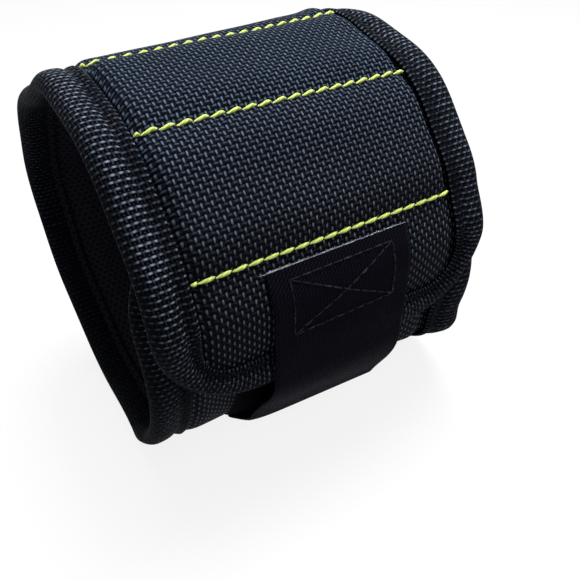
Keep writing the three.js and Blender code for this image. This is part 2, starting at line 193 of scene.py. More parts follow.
class WristbandSizes(bpy.types.PropertyGroup):
    """Sizes of the soft pieces; heights are measured out from the face of the edge tape."""

    corner_radius: length_value("Corner radius", "Radius of the band's rounded ends", 24)
    pocket_round: length_value("Pocket crease", "Half length of the rounding at a stitched crease", 11)
    end_round: length_value("Strap end crease", "Half length of the rounding next to the strap end", 9.8)
    back_round: length_value("Back crease", "Half length of the rounding behind the loop panel", 9.4)
    base_round: length_value("Resting crease", "Half length of the rounding behind the resting face", 13)
    front_round: length_value("Front fold", "Half length of the rounding at the front fold", 9.6)
    tip_round: length_value("Tip fold", "Half length of the rounding before the loop tip", 11)
    tape_width: length_value("Tape width", "Width of the edge tape on each face", 10)
    tape_half: length_value("Tape half thickness", "Half the thickness over the folded tape", 2)
    tape_roll: length_value("Tape roll", "Extra swell of the tape's outer roll", 0.6)
    tape_nose: length_value("Tape nose", "Depth over which the folded edge rounds", 2.8)
    tape_lip: length_value("Tape lip", "Width of the tape's sewn lip", 0.8)
    lip_drop: length_value("Lip drop", "How far the lip's edge is pressed in", 0.5)
    tape_furrow: length_value("Tape furrow", "Depth of the sewn furrow in the tape", 0.5)
    furrow_place: length_value("Furrow place", "Distance of the sewn furrow from the edge", 7.3)
    furrow_width: length_value("Furrow width", "Half width of the sewn furrow", 0.75)
    tape_cloth: length_value("Tape cloth", "Thickness of the tape itself", 0.6)
    groove_height: length_value("Groove", "Height of the groove between tape and cloth", -2.2)
    groove_fill: length_value("Groove fill", "How much shallower the groove is at the band's ends", 1.1)
    groove_place: length_value("Groove place", "Distance of the groove from the edge at a stitch line", 11.1)
    groove_bulge: length_value("Groove bulge", "How far a pocket bulges out over the groove", 0.6)
    corner_narrow: length_value("Corner narrowing", "How much narrower the tape is in a corner", 2.8)
    tuck: length_value("Tuck", "Width of cloth hidden under the tape", 4.4)
    plain_rise: length_value("Plain rise", "Rise of the cloth over the groove on a plain panel", 1.7)
    pocket_rise: length_value("Pocket rise", "Further rise of a pocket between its stitch lines", 1.7)
    side_reach: length_value("Side reach", "Distance over which the cloth rises from the groove", 4.2)
    seam_reach: length_value("Seam reach", "Distance over which a pocket rises from a stitch line", 11)
    pocket_widen: length_value("First pocket", "How far the first pocket is sewn beyond its creases", 0.7)
    pucker: length_value("Pucker", "Height of the ripples drawn by the stitches", 0.16)
    cloth: length_value("Cloth", "Thickness of the outer cloth", 0.8)
    lining_face: length_value("Lining face", "Height of the lining's hidden face", -2.9)
    lining: length_value("Lining", "Thickness of the mesh lining at its edges", 1)
    lining_swell: length_value("Lining swell", "Extra thickness of the lining in its middle", 0.9)
    pile_width: length_value("Loop panel width", "Width of the loop panel", 44.5)
    pile_gap: length_value("Loop panel gap", "Gap from the last stitch line to the loop panel", 9.6)
    pile: length_value("Loop pile", "Height of the loop pile", 1.0)
    pile_edge: length_value("Pile edge", "Distance over which the loop pile rises from its edges", 1.5)
    pile_curl: length_value("Pile curl", "Unevenness of the loop pile", 0.14)
    stitch_radius: length_value("Stitch radius", "Radius of the seam thread", 0.5)
    stitch_slant: length_value("Stitch slant", "How far a stitch leans along the band", 0.4)
    stitch_past: length_value("Stitch past", "How far a stitch line runs on into the groove", 0.7)
    knot: length_value("Knot", "Length of the knot at a stitch line's left end", 1.5)
    strap_width: length_value("Strap width", "Width of the closing strap", 38)
    strap: length_value("Strap", "Thickness of the closing strap", 1.0)
    strap_cut: length_value("Strap cut", "Distance of the strap's cut end from the band's end", 30.4)
    strap_split: length_value("Strap split", "Distance of the free part's start from the band's end", 13)
    strap_meet: length_value("Strap meet", "Distance of its first touch from the front fold", 13.5)
    strap_tip: length_value("Strap tip", "Distance of the strap's tip from the front fold, under it", 1.6)
    strap_corner: length_value("Strap corner", "Radius of the corners at the strap's tip", 6.5)
    strap_pull: length_value("Strap pull", "Length over which the strap keeps its direction at its bends", 8)
    strap_skew: length_value("Strap skew", "How far the strap's tip lies to the left of its sewn end", 4.4)
    strap_twist: length_value("Strap twist", "How far the strap's right side stands out over its fold", 2)
    strap_curl: length_value("Strap curl", "How far the strap's left edge curls in", 0.8)
    hook_height: length_value("Hook height", "Height of the hook patch under the strap", 0.5)
    hook_base: length_value("Hook base", "Thickness of the hook patch's base", 0.2)
    hook_length: length_value("Hook length", "Length of the hook patch with its margin", 20)
    hook_margin: length_value("Hook margin", "Distance of the hook patch from the strap's edges", 2)
    hook_radius: length_value("Hook radius", "Radius of a hook at its foot", 0.11)
    hook_throw: length_value("Hook throw", "How far a hook bends over", 0.3)
    box_half: length_value("Box half width", "Half width of the box stitching", 14)
    box_low: length_value("Box start", "Distance of the box stitching from the band's end", 13.8)
    box_high: length_value("Box end", "Distance of the box's far side from the band's end", 27.6)
    box_thread: length_value("Box thread", "Radius of the box stitching's thread", 0.2)
    box_stitch: length_value("Box stitch", "Least length of a stitch of the box", 2.7)
    flap_swell: length_value("Flap swell", "How far the strap end stands out under its stitch line", 3.8)
    flap_reach: length_value("Flap reach", "Distance over which the strap end comes out to its swell", 14)
    flap_lift: length_value("Flap lift", "How far the strap end's right corner stands out further", 1.0)
    front_swell: length_value("Front swell", "How far the loop front stands out behind the strap end", 2.6)
    front_reach: length_value("Front reach", "Distance over which the loop front comes out", 18)
    front_lift: length_value("Front lift", "How far the loop front's right side stands out further", 7.3)
    front_spread: length_value("Front spread", "How far the loop front's right edge lies further right", 6.2)
    lift_start: length_value("Lift start", "Distance from the front fold at which that lift begins", 2.5)
    lift_reach: length_value("Lift reach", "Distance over which that lift comes to its full height", 12)
    spread_start: length_value("Spread start", "Distance before the front fold where the spread begins", 12)
    spread_reach: length_value("Spread reach", "Distance over which the spread comes to its full width", 30)
    ease_start: length_value("Ease start", "Distance from the front fold at which both go back", 15)
    ease_reach: length_value("Ease reach", "Distance over which both go back", 10)
    fold_swell: length_value("Fold swell", "How far the loop front's middle buckles out", 4.0)
    fold_place: length_value("Fold place", "Distance of the buckle from the front fold", 13)
    fold_reach: length_value("Fold reach", "Half length of the buckle along the band", 6.5)
    fold_half: length_value("Fold half width", "Half width over which the buckle is full", 14)
    fold_fill: length_value("Fold fill", "How far the left cloth stands out at the front fold", 0.5)
    fold_press: length_value("Fold press", "How far the left tape lies lower at the front fold", 2.0)
    fold_spread: length_value("Fold spread", "How far the left edge lies further left there", 1.4)
    press_reach: length_value("Press reach", "Half length of the pressed tape along the band", 13)
    top_tilt: length_value("Top tilt", "How far the ring's top rises to the right and falls to the left", 2)
    top_drop: length_value("Top drop", "How far the ring's top falls at its right edge", 3.2)
    top_lip: length_value("Top lip", "How far the ring's top stands up on both sides of the groove", 1.5)
    top_fill: length_value("Top fill", "How much shallower the groove is at the top and the front fold", 1.2)
    top_place: length_value("Top place", "Distance of the ring's top from the third stitch line", 10)
    top_reach: length_value("Top reach", "Half length of the tilted top along the band", 14)
    stitch_count: bpy.props.IntProperty(
        name="Stitches", description="Stitches in one line", default=18, min=4, max=60
    )


class WristbandColours(bpy.types.PropertyGroup):
    """Colours of the finishes."""

    nylon: colour_value("Nylon", "Yarn of the outer cloth", (0.0062, 0.0070, 0.0118))
    # Painted shade: the gaps between the outer cloth's yarns are painted near black.
    nylon_gap_shade: colour_value("Nylon gap", "Gaps between the outer cloth's yarns", (0.0014, 0.0014, 0.0028))
    # Painted highlight: the bright colour of the nylon's floats, standing in for their sheen.
    nylon_highlight: colour_value("Nylon float", "Crown of the outer cloth's yarns", (0.126, 0.192, 0.278))
    # Painted light: the highlight colour near the band's ends, where less light falls.
    nylon_end_highlight: colour_value("Nylon at the ends", "The same near the band's ends", (0.160, 0.184, 0.212))
    tape: colour_value("Tape", "Yarn of the edge tape", (0.0026, 0.0028, 0.0044))
    # Painted highlight: the bright colour of the tape's floats, standing in for their sheen.
    tape_highlight: colour_value("Tape float", "Crown of the edge tape's yarns", (0.215, 0.265, 0.350))
    lining: colour_value("Lining", "Mesh lining", (0.0260, 0.0240, 0.0350))
    # Painted shade: the mesh's holes are painted darker than its net.
    lining_hole_shade: colour_value("Lining hole", "Holes of the mesh lining", (0.012, 0.011, 0.017))
    pile: colour_value("Loop pile", "Loop panel", (0.0060, 0.0054, 0.0090))
    pile_dark: colour_value("Pile shade", "Between the loops of the pile", (0.003, 0.0028, 0.0045))
    strap: colour_value("Strap", "Closing strap", (0.0120, 0.0108, 0.0195))
    strap_dark: colour_value("Strap shade", "Furrows of the strap's weave", (0.0033, 0.0030, 0.0062))
    strap_fleck: colour_value("Strap fleck", "Flecks of its weave near its bend", (0.060, 0.062, 0.074))
    hook: colour_value("Hook shade", "Dark grain of the hook tape", (0.008, 0.008, 0.010))
    thread: colour_value("Thread", "Seam thread", (0.74, 0.86, 0.21))
    thread_shade: colour_value("Thread shade", "Furrows of the seam thread", (0.42, 0.55, 0.07))
    box_thread: colour_value("Box thread", "Thread of the box stitching", (0.037, 0.039, 0.058))
    box_shade: colour_value("Box shade", "Furrows of that thread", (0.00814, 0.00858, 0.01276))
    # Painted sheen: the strap's black cut yarns are painted pale blue-grey.
    fray_sheen: colour_value("Fray", "Cut yarns of the strap", (0.52, 0.60, 0.66))
    fray_shade: colour_value("Fray shade", "Furrows of the cut yarns", (0.208, 0.24, 0.264))
    plating: colour_value("Plating", "Plated magnets", (0.62, 0.63, 0.65))
    plating_mark: colour_value("Plating mark", "Handling marks on the magnets", (0.50, 0.51, 0.53))
    floor: colour_value("Floor", "Studio floor as the object sees it", (0.20, 0.20, 0.21))
    floor_seen: colour_value("Floor seen", "Studio floor as the camera sees it", (0.95, 0.95, 0.95))


class WristbandStage(bpy.types.PropertyGroup):
    """Camera, lamps and floor."""

    camera_place: place_value("Camera", "Place of the camera", (-0.072087, -0.136249, 0.134782))
    camera_aim: place_value("Aim", "Point in the middle of the picture", (0.00496, -0.01871, 0.03010))
    camera_roll: bpy.props.FloatProperty(
        name="Roll", description="Turn about the view", default=np.radians(-0.32), subtype="ANGLE"
    )
    camera_lens: bpy.props.FloatProperty(
        name="Lens", description="Focal length in millimetres", default=38.80, subtype="DISTANCE_CAMERA"
    )
    sensor: bpy.props.FloatProperty(
        name="Sensor", description="Sensor width in millimetres", default=36, subtype="DISTANCE_CAMERA"
    )
    camera_near: length_value("Near limit", "Nearest distance that the camera sees", 10)
    floor_half: length_value("Floor", "Half width of the studio floor", 3000)
    floor_middle: length_value("Floor middle", "Half width of the floor's finely divided middle", 150)
    floor_rise: length_value("Floor rise", "Height of the low rise that the resting face lies on", 12)
    rise_reach: length_value("Rise reach", "Distance over which that rise falls away", 22)
    floor_glow: bpy.props.FloatProperty(
        name="Floor glow", description="Share of white in the floor as seen", default=0.85, subtype="FACTOR"
    )
    top_place: place_value("Top lamp's place", "Place of the top lamp", (0.12, 0.05, 0.80))
    top_size: length_value("Top lamp's size", "Width of the top lamp", 400)
    top_power: power_value("Top lamp", "Power of the top lamp", 8.4)
    front_place: place_value("Front lamp's place", "Place of the front lamp", (0.10, -0.50, 0.60))
    front_size: length_value("Front lamp's size", "Width of the front lamp", 700)
    front_power: power_value("Front lamp", "Power of the front lamp", 0.7)
    surround: bpy.props.FloatProperty(name="Surround", description="Brightness of the studio", default=0.24)


def smooth_step(share):
    """Eased share: three times its square less twice its cube, held between 0 and 1."""
    held = np.clip(share, 0, 1)
    return held * held * (3 - 2 * held)


def turned_share(share):
    """Share of a crease's bend reached at a share of its length: the mean of it and its eased share."""
    return (share + smooth_step(share)) / 2


def rise_share(distance, reach, power):
    """Rounded rise from 0 to 1 over a reach: one less a power of the share still to go."""
    return 1 - (1 - np.clip(distance / reach, 0, 1)) ** power


def bell(distance, reach):
    """Bell-shaped share: the exponential of minus the square of a distance over its reach."""
    return np.exp(-((distance / reach) ** 2))


def heading(angle):
    """Unit direction of an angle in the (y, z) plane."""
    return np.stack([np.cos(angle), np.sin(angle)], -1)


def even_steps(low, high, spacing):
    """Even steps from one value to another, a little closer than the spacing."""
    return np.linspace(low, high, int(abs(high - low) / spacing) + 2)


def run_lengths(points):
    """Distance along a path of each of its points."""
    steps = np.linalg.norm(np.diff(points, axis=0), axis=1)
    return np.concatenate([[0], np.cumsum(steps)])


def node_points(name):
    """Corners of one solid of the frame, as rows of (x, y, z)."""
    corners = frame["nodes"][name].data.vertices
    flat = np.empty(len(corners) * 3, np.float32)
    corners.foreach_get("co", flat)
    return flat.reshape(-1, 3).astype(float)


class Band:
    """The wrapped band: a line in the (y, z) plane along the tape's face, and the rounded outline on it."""

    def __init__(self, sizes):
        self.sizes = sizes
        self.half_width = CAD_BOX[1][0]
        self.inset = sizes.groove_place - sizes.tuck
        self.corners = np.array([JOINTS[name]["pos_m"][1:] for name in CREASES])
        self.bends = np.radians([JOINTS[name]["range_deg"][1] for name in CREASES])
        legs = np.diff(self.corners, axis=0)
        inner = np.unwrap(np.arctan2(legs[:, 1], legs[:, 0]))
        self.angles = np.concatenate([[inner[0] + self.bends[0]], inner, [inner[-1] - self.bends[-1]]])
        ahead = self.corners[0] - node_points("binding_strap_end")[:, 1:]
        behind = node_points("binding_loop_tip")[:, 1:] - self.corners[-1]
        first = (ahead @ heading(self.angles[0])).max()
        last = (behind @ heading(self.angles[-1])).max()
        steps = np.concatenate([[first], np.hypot(legs[:, 0], legs[:, 1]), [last]])
        self.stations = np.concatenate([[0], np.cumsum(steps)])
        self.front_fold, self.tip_fold, self.length = self.stations[-3:]
        self.seams = self.stations[1 : SEAM_TOTAL + 1].copy()
        self.seams[:2] += sizes.pocket_widen * np.array([-1, 1])
        middles = (self.stations[1:-2] + self.stations[2:-1]) / 2
        self.cuts = np.concatenate([[0], middles, [self.length]])
        rounds = [sizes.end_round] + [sizes.pocket_round] * (SEAM_TOTAL - 2) + [sizes.back_round]
        self.rounds = np.array(rounds + [sizes.base_round, sizes.front_round, sizes.tip_round])
        self.make_line()

    def make_line(self):
        """Table of the line: straight legs, and at each crease a curve that turns by the bend times a share
        that eases in and out."""
        share = np.linspace(0, 1, ROUND_SAMPLES)
        middle_share = (share[1:] + share[:-1]) / 2
        first = self.corners[0] - self.stations[1] * heading(self.angles[0])
        stations = [np.zeros(1)]
        places = [first[None]]
        turns = [self.angles[:1]]
        for number, corner in enumerate(self.corners):
            before = heading(self.angles[number])
            after = heading(self.angles[number + 1])
            steps = heading(self.angles[number] - self.bends[number] * turned_share(middle_share))
            path = np.concatenate([np.zeros((1, 2)), np.cumsum(steps, 0)])
            reach = self.rounds[number]
            scale = reach * np.linalg.norm(before + after) / np.linalg.norm(path[-1])
            places.append(corner - reach * before + scale * path)
            turns.append(self.angles[number] - self.bends[number] * turned_share(share))
            stations.append(self.stations[number + 1] + reach * (2 * share - 1))
        final = self.corners[-1] + (self.length - self.tip_fold) * heading(self.angles[-1])
        self.line_station = np.concatenate(stations + [[self.length]])
        self.line_place = np.concatenate(places + [final[None]])
        self.line_angle = np.concatenate(turns + [self.angles[-1:]])

    def line(self, along):
        """Place in (y, z) and direction angle of the line at a distance along the band."""
        y = np.interp(along, self.line_station, self.line_place[:, 0])
        z = np.interp(along, self.line_station, self.line_place[:, 1])
        return y, z, np.interp(along, self.line_station, self.line_angle)

    def place(self, across, along, height):
        """Point in the frame: the line's point at that distance, plus height and flare along its outward
        normal. The loop front's right side and the front fold's left side are spread by the square of the
        share of the half width."""
        y, z, angle = self.line(along)
        out = height + self.flare(across, along)
        left, right = self.side_shares(across)
        spread = self.front_share(along, -self.sizes.spread_start, self.sizes.spread_reach)
        across = across + self.sizes.front_spread * right**2 * spread
        across = across - self.sizes.fold_spread * left**2 * self.fold_share(along)
        parts = np.broadcast_arrays(across, y - out * np.sin(angle), z + out * np.cos(angle))
        return np.stack(parts, -1)

    def side_shares(self, across):
        """Shares of the half width to the left and to the right."""
        sideways = across / self.half_width
        return np.clip(-sideways, 0, 1), np.clip(sideways, 0, 1)

    def front_share(self, along, start, reach):
        """Share of the loop front's lift or spread at a distance along the band: an eased rise, less a part
        of it that eases back under the strap end."""
        above = along - self.front_fold
        back = FRONT_EASE * smooth_step((above - self.sizes.ease_start) / self.sizes.ease_reach)
        return smooth_step((above - start) / reach) * (1 - back)

    def fold_share(self, along):
        """Bell-shaped share of a distance along the band, full at the front fold."""
        return bell(along - self.front_fold, self.sizes.press_reach)

    def top_share(self, along):
        """Bell-shaped share of a distance along the band, full at the ring's top."""
        return bell(along - self.seams[2] - self.sizes.top_place, self.sizes.top_reach)

    def flare(self, across, along):
        """How far the cloth stands out of the ring of its creases, the sum of four parts."""
        left, right = self.side_shares(across)
        flap = self.flap_flare(left, right, along)
        front = self.front_flare(right, across, along)
        top = self.top_flare(across / self.half_width) * self.top_share(along)
        return flap + front + top + self.fold_flare(left) * self.fold_share(along)

    def flap_flare(self, left, right, along):
        """The strap end below the first stitch line: an eased swell, less at the left by a square, and a
        lift of its right corner by a cube."""
        sizes = self.sizes
        below = self.stations[1] - along
        swell = sizes.flap_swell * smooth_step(below / sizes.flap_reach) * (1 - FLAP_LEFT_LOSS * left**2)
        return swell + sizes.flap_lift * right**FLAP_LIFT_POWER * np.clip(below / self.stations[1], 0, 1)

    def front_flare(self, right, across, along):
        """The loop front: an eased swell and a lift by a power of the share to the right, both less towards
        the tip, and a bell-shaped buckle in its middle."""
        sizes = self.sizes
        above = along - self.front_fold
        over = smooth_step(above / sizes.front_reach)
        held = 1 - FRONT_TIP_LOSS * smooth_step((along - self.tip_fold) / (self.length - self.tip_fold))
        rise = self.front_share(along, sizes.lift_start, sizes.lift_reach)
        lift = sizes.front_lift * right**FRONT_LIFT_POWER * rise
        middle = 1 - smooth_step((np.abs(across) - sizes.fold_half) / sizes.fold_half * BUCKLE_FADE)
        buckle = middle * bell(above - sizes.fold_place, sizes.fold_reach)
        return (sizes.front_swell * over + lift) * held + sizes.fold_swell * buckle

    def top_flare(self, sideways):
        """The ring's top over the width: a tilt, less a drop by the sixth power of the share of the half
        width, plus a bell-shaped lip on both sides; drop and lip are greater at the right."""
        sizes = self.sizes
        drop = sizes.top_drop * sideways**DROP_POWER * (1 - DROP_RIGHT + DROP_RIGHT * sideways)
        lip = bell(np.abs(sideways) - LIP_PLACE, LIP_REACH) * (LIP_MIDDLE + LIP_RIGHT * sideways)
        return sizes.top_tilt * sideways - drop + sizes.top_lip * lip

    def fold_flare(self, left):
        """The front fold's left side over the width: an eased fill, less an eased press of its tape."""
        fill = self.sizes.fold_fill * smooth_step(left / FILL_REACH)
        return fill - self.sizes.fold_press * smooth_step((left - PRESS_PLACE) / PRESS_REACH)

    def crease_ends(self, number):
        """Start and end of the bending at a crease, as points of the frame."""
        reach = self.rounds[number]
        start = self.corners[number] - reach * heading(self.angles[number])
        end = self.corners[number] + reach * heading(self.angles[number + 1])
        return (0, *start), (0, *end)

    def to_end(self, along):
        """Distance to the nearer end of the band."""
        return np.minimum(along, self.length - along)

    def edge_distance(self, across, along):
        """Distance in from the outline: from the circle near a corner, else from the nearest edge."""
        radius = self.sizes.corner_radius
        end = self.to_end(along)
        side = self.half_width - np.abs(across)
        corner = radius - np.hypot(np.maximum(radius - side, 0), np.maximum(radius - end, 0))
        return np.where((end < radius) & (side < radius), corner, np.minimum(end, side))

    def corner_share(self, across, along):
        """How far a point is into a rounded corner: the squared sine of twice its angle about the centre."""
        radius = self.sizes.corner_radius
        end = np.maximum(radius - self.to_end(along), 0)
        side = np.maximum(radius - self.half_width + np.abs(across), 0)
        return np.sin(2 * np.arctan2(end, side)) ** 2

    def half_at(self, along, inset):
        """Half width of the outline moved in by the inset: the side's, or the corner circle's near an end."""
        radius = self.sizes.corner_radius
        end = self.to_end(along)
        inner = radius - inset
        arc = np.sqrt(np.maximum(inner**2 - np.maximum(radius - end, 0) ** 2, 0))
        return self.half_width - radius + np.where(end < radius, arc, inner)

    def rows(self, number, spacing):
        """Distances along the band of one panel's rows: even steps, and a cosine's steps in a rounded end."""
        low, high = self.cuts[number : number + 2]
        radius = self.sizes.corner_radius
        inner = radius - self.inset
        turn = np.linspace(0, QUARTER_TURN, int(inner / spacing * ROUND_FINENESS) + 2)
        rounded = radius - inner * np.cos(turn)
        if number == 0:
            return np.concatenate([rounded, even_steps(radius, high, spacing)[1:]])
        if number == LAST_CREASE:
            straight = even_steps(low, self.length - radius, spacing)
            return np.concatenate([straight[:-1], self.length - rounded[::-1]])
        return even_steps(low, high, spacing)

    def seam_gap(self, along):
        """Distance to the nearest stitch line."""
        return np.abs(np.asarray(along)[..., None] - self.seams).min(-1)

    def seam_half(self):
        """Half the length of a stitch line, which ends just inside the groove."""
        return self.half_width - self.sizes.groove_place

    def pocket_share(self, along):
        """Rounded rise from 0 on a stitch line to 1 a seam's reach away, on pockets alone."""
        inside = (along > self.seams[0]) & (along < self.seams[-1])
        return np.where(inside, rise_share(self.seam_gap(along), self.sizes.seam_reach, POCKET_POWER), 0)

    def cloth_height(self, across, along):
        """Height of the outer cloth: the groove's, shallower at the band's ends, the top and the front fold,
        plus a rounded rise from the side that pockets add to between their stitch lines, plus ripples at the
        stitches and faint waves."""
        sizes = self.sizes
        share = self.pocket_share(along)
        narrow = sizes.corner_narrow * self.corner_share(across, along)
        groove = sizes.groove_place - sizes.groove_bulge * share - narrow
        inward = self.edge_distance(across, along) - groove
        side = rise_share(inward, sizes.side_reach, SIDE_POWER)
        near_end = 1 - smooth_step((self.to_end(along) - sizes.tape_width) / sizes.tape_width)
        bends = self.top_share(along) + self.fold_share(along)
        filled = sizes.groove_fill * near_end + sizes.top_fill * bends
        rise = (sizes.plain_rise - filled + sizes.pocket_rise * share) * side
        pitch = 2 * self.seam_half() / sizes.stitch_count
        drawn = bell(self.seam_gap(along), RIPPLE_REACH * pitch)
        ripple = sizes.pucker * np.cos(FULL_TURN * across / pitch) * drawn * side
        first = np.sin(FIRST_WAVE[0] * across + FIRST_WAVE[1] * along)
        second = np.sin(SECOND_WAVE[0] * across + SECOND_WAVE[1] * along + WAVE_SHIFT)
        wave = WAVE_HEIGHT * first * second * side
        tucked = np.minimum(inward, 0) * TUCK_SLOPE
        return sizes.groove_height + filled + rise + ripple + tucked + wave


def swept_faces(rows, ring):
    """Faces of a closed section carried over rows: quads between rows, and quads that close each end."""
    row = np.arange(rows - 1)[:, None] * ring
    column = np.arange(ring)[None]
    following = (column + 1) % ring
    sides = np.stack([row + column, row + following, row + ring + following, row + ring + column], -1)
    half = np.arange(ring // 2 - 1)
    start = np.stack([half + 1, half, ring - 1 - half, ring - 2 - half], -1)
    finish = start[:, ::-1] + (rows - 1) * ring
    return np.concatenate([sides.reshape(-1, 4), start, finish])


def folded_sheet(upper, lower, across, along):
    """Rings of a closed sheet, its upper face followed by its lower face turned back, and their weave map."""
    weave = np.stack(np.broadcast_arrays(across, along), -1)
    return np.concatenate([upper, lower[:, ::-1]], 1), np.concatenate([weave, weave[:, ::-1]], 1)


def rod_grid(rings, sides):
    """Shares along a rod and angles round it, shaped for many rods at once."""
    share = np.linspace(0, 1, rings)[None, :, None]
    return share, np.linspace(0, FULL_TURN, sides, endpoint=False)[None, None]


def rod_faces(rings, sides, copies):
    """Faces of several like rods whose points follow one another."""
    offsets = np.arange(copies)[:, None, None] * rings * sides
    return (swept_faces(rings, sides)[None] + offsets).reshape(-1, 4)


def rod_weave(lengthwise, around):
    """Weave map of rods: a distance along them and the share of a turn round them."""
    return np.stack(np.broadcast_arrays(lengthwise, around / FULL_TURN), -1)


def outward(points, faces):
    """The faces, turned round if the volume they enclose comes out negative."""
    corners = points[faces]
    first = np.cross(corners[:, 1] - corners[:, 0], corners[:, 2] - corners[:, 0])
    second = np.cross(corners[:, 2] - corners[:, 0], corners[:, 3] - corners[:, 0])
    volume = (corners[:, 0] * (first + second)).sum()
    return faces if volume > 0 else faces[:, ::-1]


def make_piece(name, points, faces, weave, material, sharp=50):
    """A mesh object at the origin, smooth but for edges sharper than an angle in degrees, with its weave map
    in metres and each point's height in the wrapped band, as a share of the band's height."""
    mesh = bpy.data.meshes.new(name)
    points = np.asarray(points).reshape(-1, 3)
    mesh.from_pydata(points.tolist(), [], outward(points, faces).tolist())
    used = np.empty(len(mesh.loops), np.int32)
    mesh.loops.foreach_get("vertex_index", used)
    layer = mesh.uv_layers.new(name="Weave")
    layer.data.foreach_set("uv", np.asarray(weave, np.float32).reshape(-1, 2)[used].ravel())
    level = mesh.attributes.new("Level", "FLOAT", "POINT")
    level.data.foreach_set("value", (points[:, 2] / CAD_BOX[1][2]).astype(np.float32))
    mesh.shade_smooth()
    mesh.set_sharp_from_angle(angle=np.radians(sharp))
    mesh.materials.append(material)
    piece = bpy.data.objects.new(name, mesh)
    bpy.context.scene.collection.objects.link(piece)
    return piece


def follow_crease(piece, band, number):
    """Bakes the piece's transform into its mesh; the crease's start and end are found but not used."""
    start, end = band.crease_ends(number)
    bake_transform(piece)


def stand_for(piece, slot, *nodes):
    """Hides the named solids, whose place the piece takes; the slot is not used."""
    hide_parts(*nodes)


def crease_panels(number):
    """Panels that the piece at a crease stands for: the one before it, and the tip at the last crease."""
    return PANELS[number : number + 2] if number == LAST_CREASE else PANELS[number : number + 1]


def layer_piece(name, band, number, material, spacing, columns, over, under):
    """A cloth layer of one panel: its upper and lower heights on rows along and columns across the band."""
    along = band.rows(number, spacing)[:, None]
    across = np.linspace(-1, 1, columns)[None] * band.half_at(along, band.inset)
    along = np.broadcast_to(along, across.shape)
    upper = band.place(across, along, over(across, along))
    lower = band.place(across, along, under(across, along))
    points, weave = folded_sheet(upper, lower, across, along)
    piece = make_piece(name, points, swept_faces(len(along), 2 * columns), weave, material)
    follow_crease(piece, band, number)
    return piece


class Shade:
    """A number that varies over a surface; arithmetic on it adds Math nodes."""

    def __init__(self, painter, socket):
        self.painter = painter
        self.socket = socket

    def __add__(self, other):
        return self.painter.math("ADD", self, other)

    def __sub__(self, other):
        return self.painter.math("SUBTRACT", self, other)

    def __rsub__(self, other):
        return self.painter.math("SUBTRACT", other, self)

    def __mul__(self, other):
        return self.painter.math("MULTIPLY", self, other)

    def __truediv__(self, other):
        return self.painter.math("DIVIDE", self, other)

    def __pow__(self, other):
        return self.painter.math("POWER", self, other)

    __radd__ = __add__
    __rmul__ = __mul__


class Painter:
    """Adds nodes to a material's tree or the world's."""

    def __init__(self, tree):
        self.nodes = tree.nodes
        self.links = tree.links

    def add(self, kind, settings=None, sockets=None):
        """A node of any kind: its settings first, then the values or links of its sockets."""
        node = self.nodes.new(kind)
        for setting, value in (settings or {}).items():
            setattr(node, setting, value)
        for socket, value in (sockets or {}).items():
            self.feed(node.inputs[socket], value)
        return node

    def feed(self, socket, value):
        """Links a shade or a node's output to a socket, or sets its value."""
        source = value.socket if isinstance(value, Shade) else value
        if isinstance(source, bpy.types.NodeSocket):
            self.links.new(source, socket)
        else:
            socket.default_value = source

    def math(self, operation, *values):
        """A Math node's result."""
        node = self.add("ShaderNodeMath", {"operation": operation}, dict(enumerate(values)))
        return Shade(self, node.outputs[0])

    def mix(self, share, first, second):
        """Colour between two, by a share."""
        first, second = (
            value if isinstance(value, bpy.types.NodeSocket) else (*value, 1) for value in (first, second)
        )
        settings = {"data_type": "RGBA", "clamp_factor": True}
        node = self.add("ShaderNodeMix", settings, {0: share, 6: first, 7: second})
        return node.outputs[2]

    def seen(self):
        """1 for what the camera sees, directly, reflected or through glass, and 0 for what only lights."""
        path = self.add("ShaderNodeLightPath")
        camera, glossy, through = (
            Shade(self, path.outputs[f"Is {kind} Ray"]) for kind in ("Camera", "Glossy", "Transmission")
        )
        return self.math("MINIMUM", camera + glossy + through, 1)


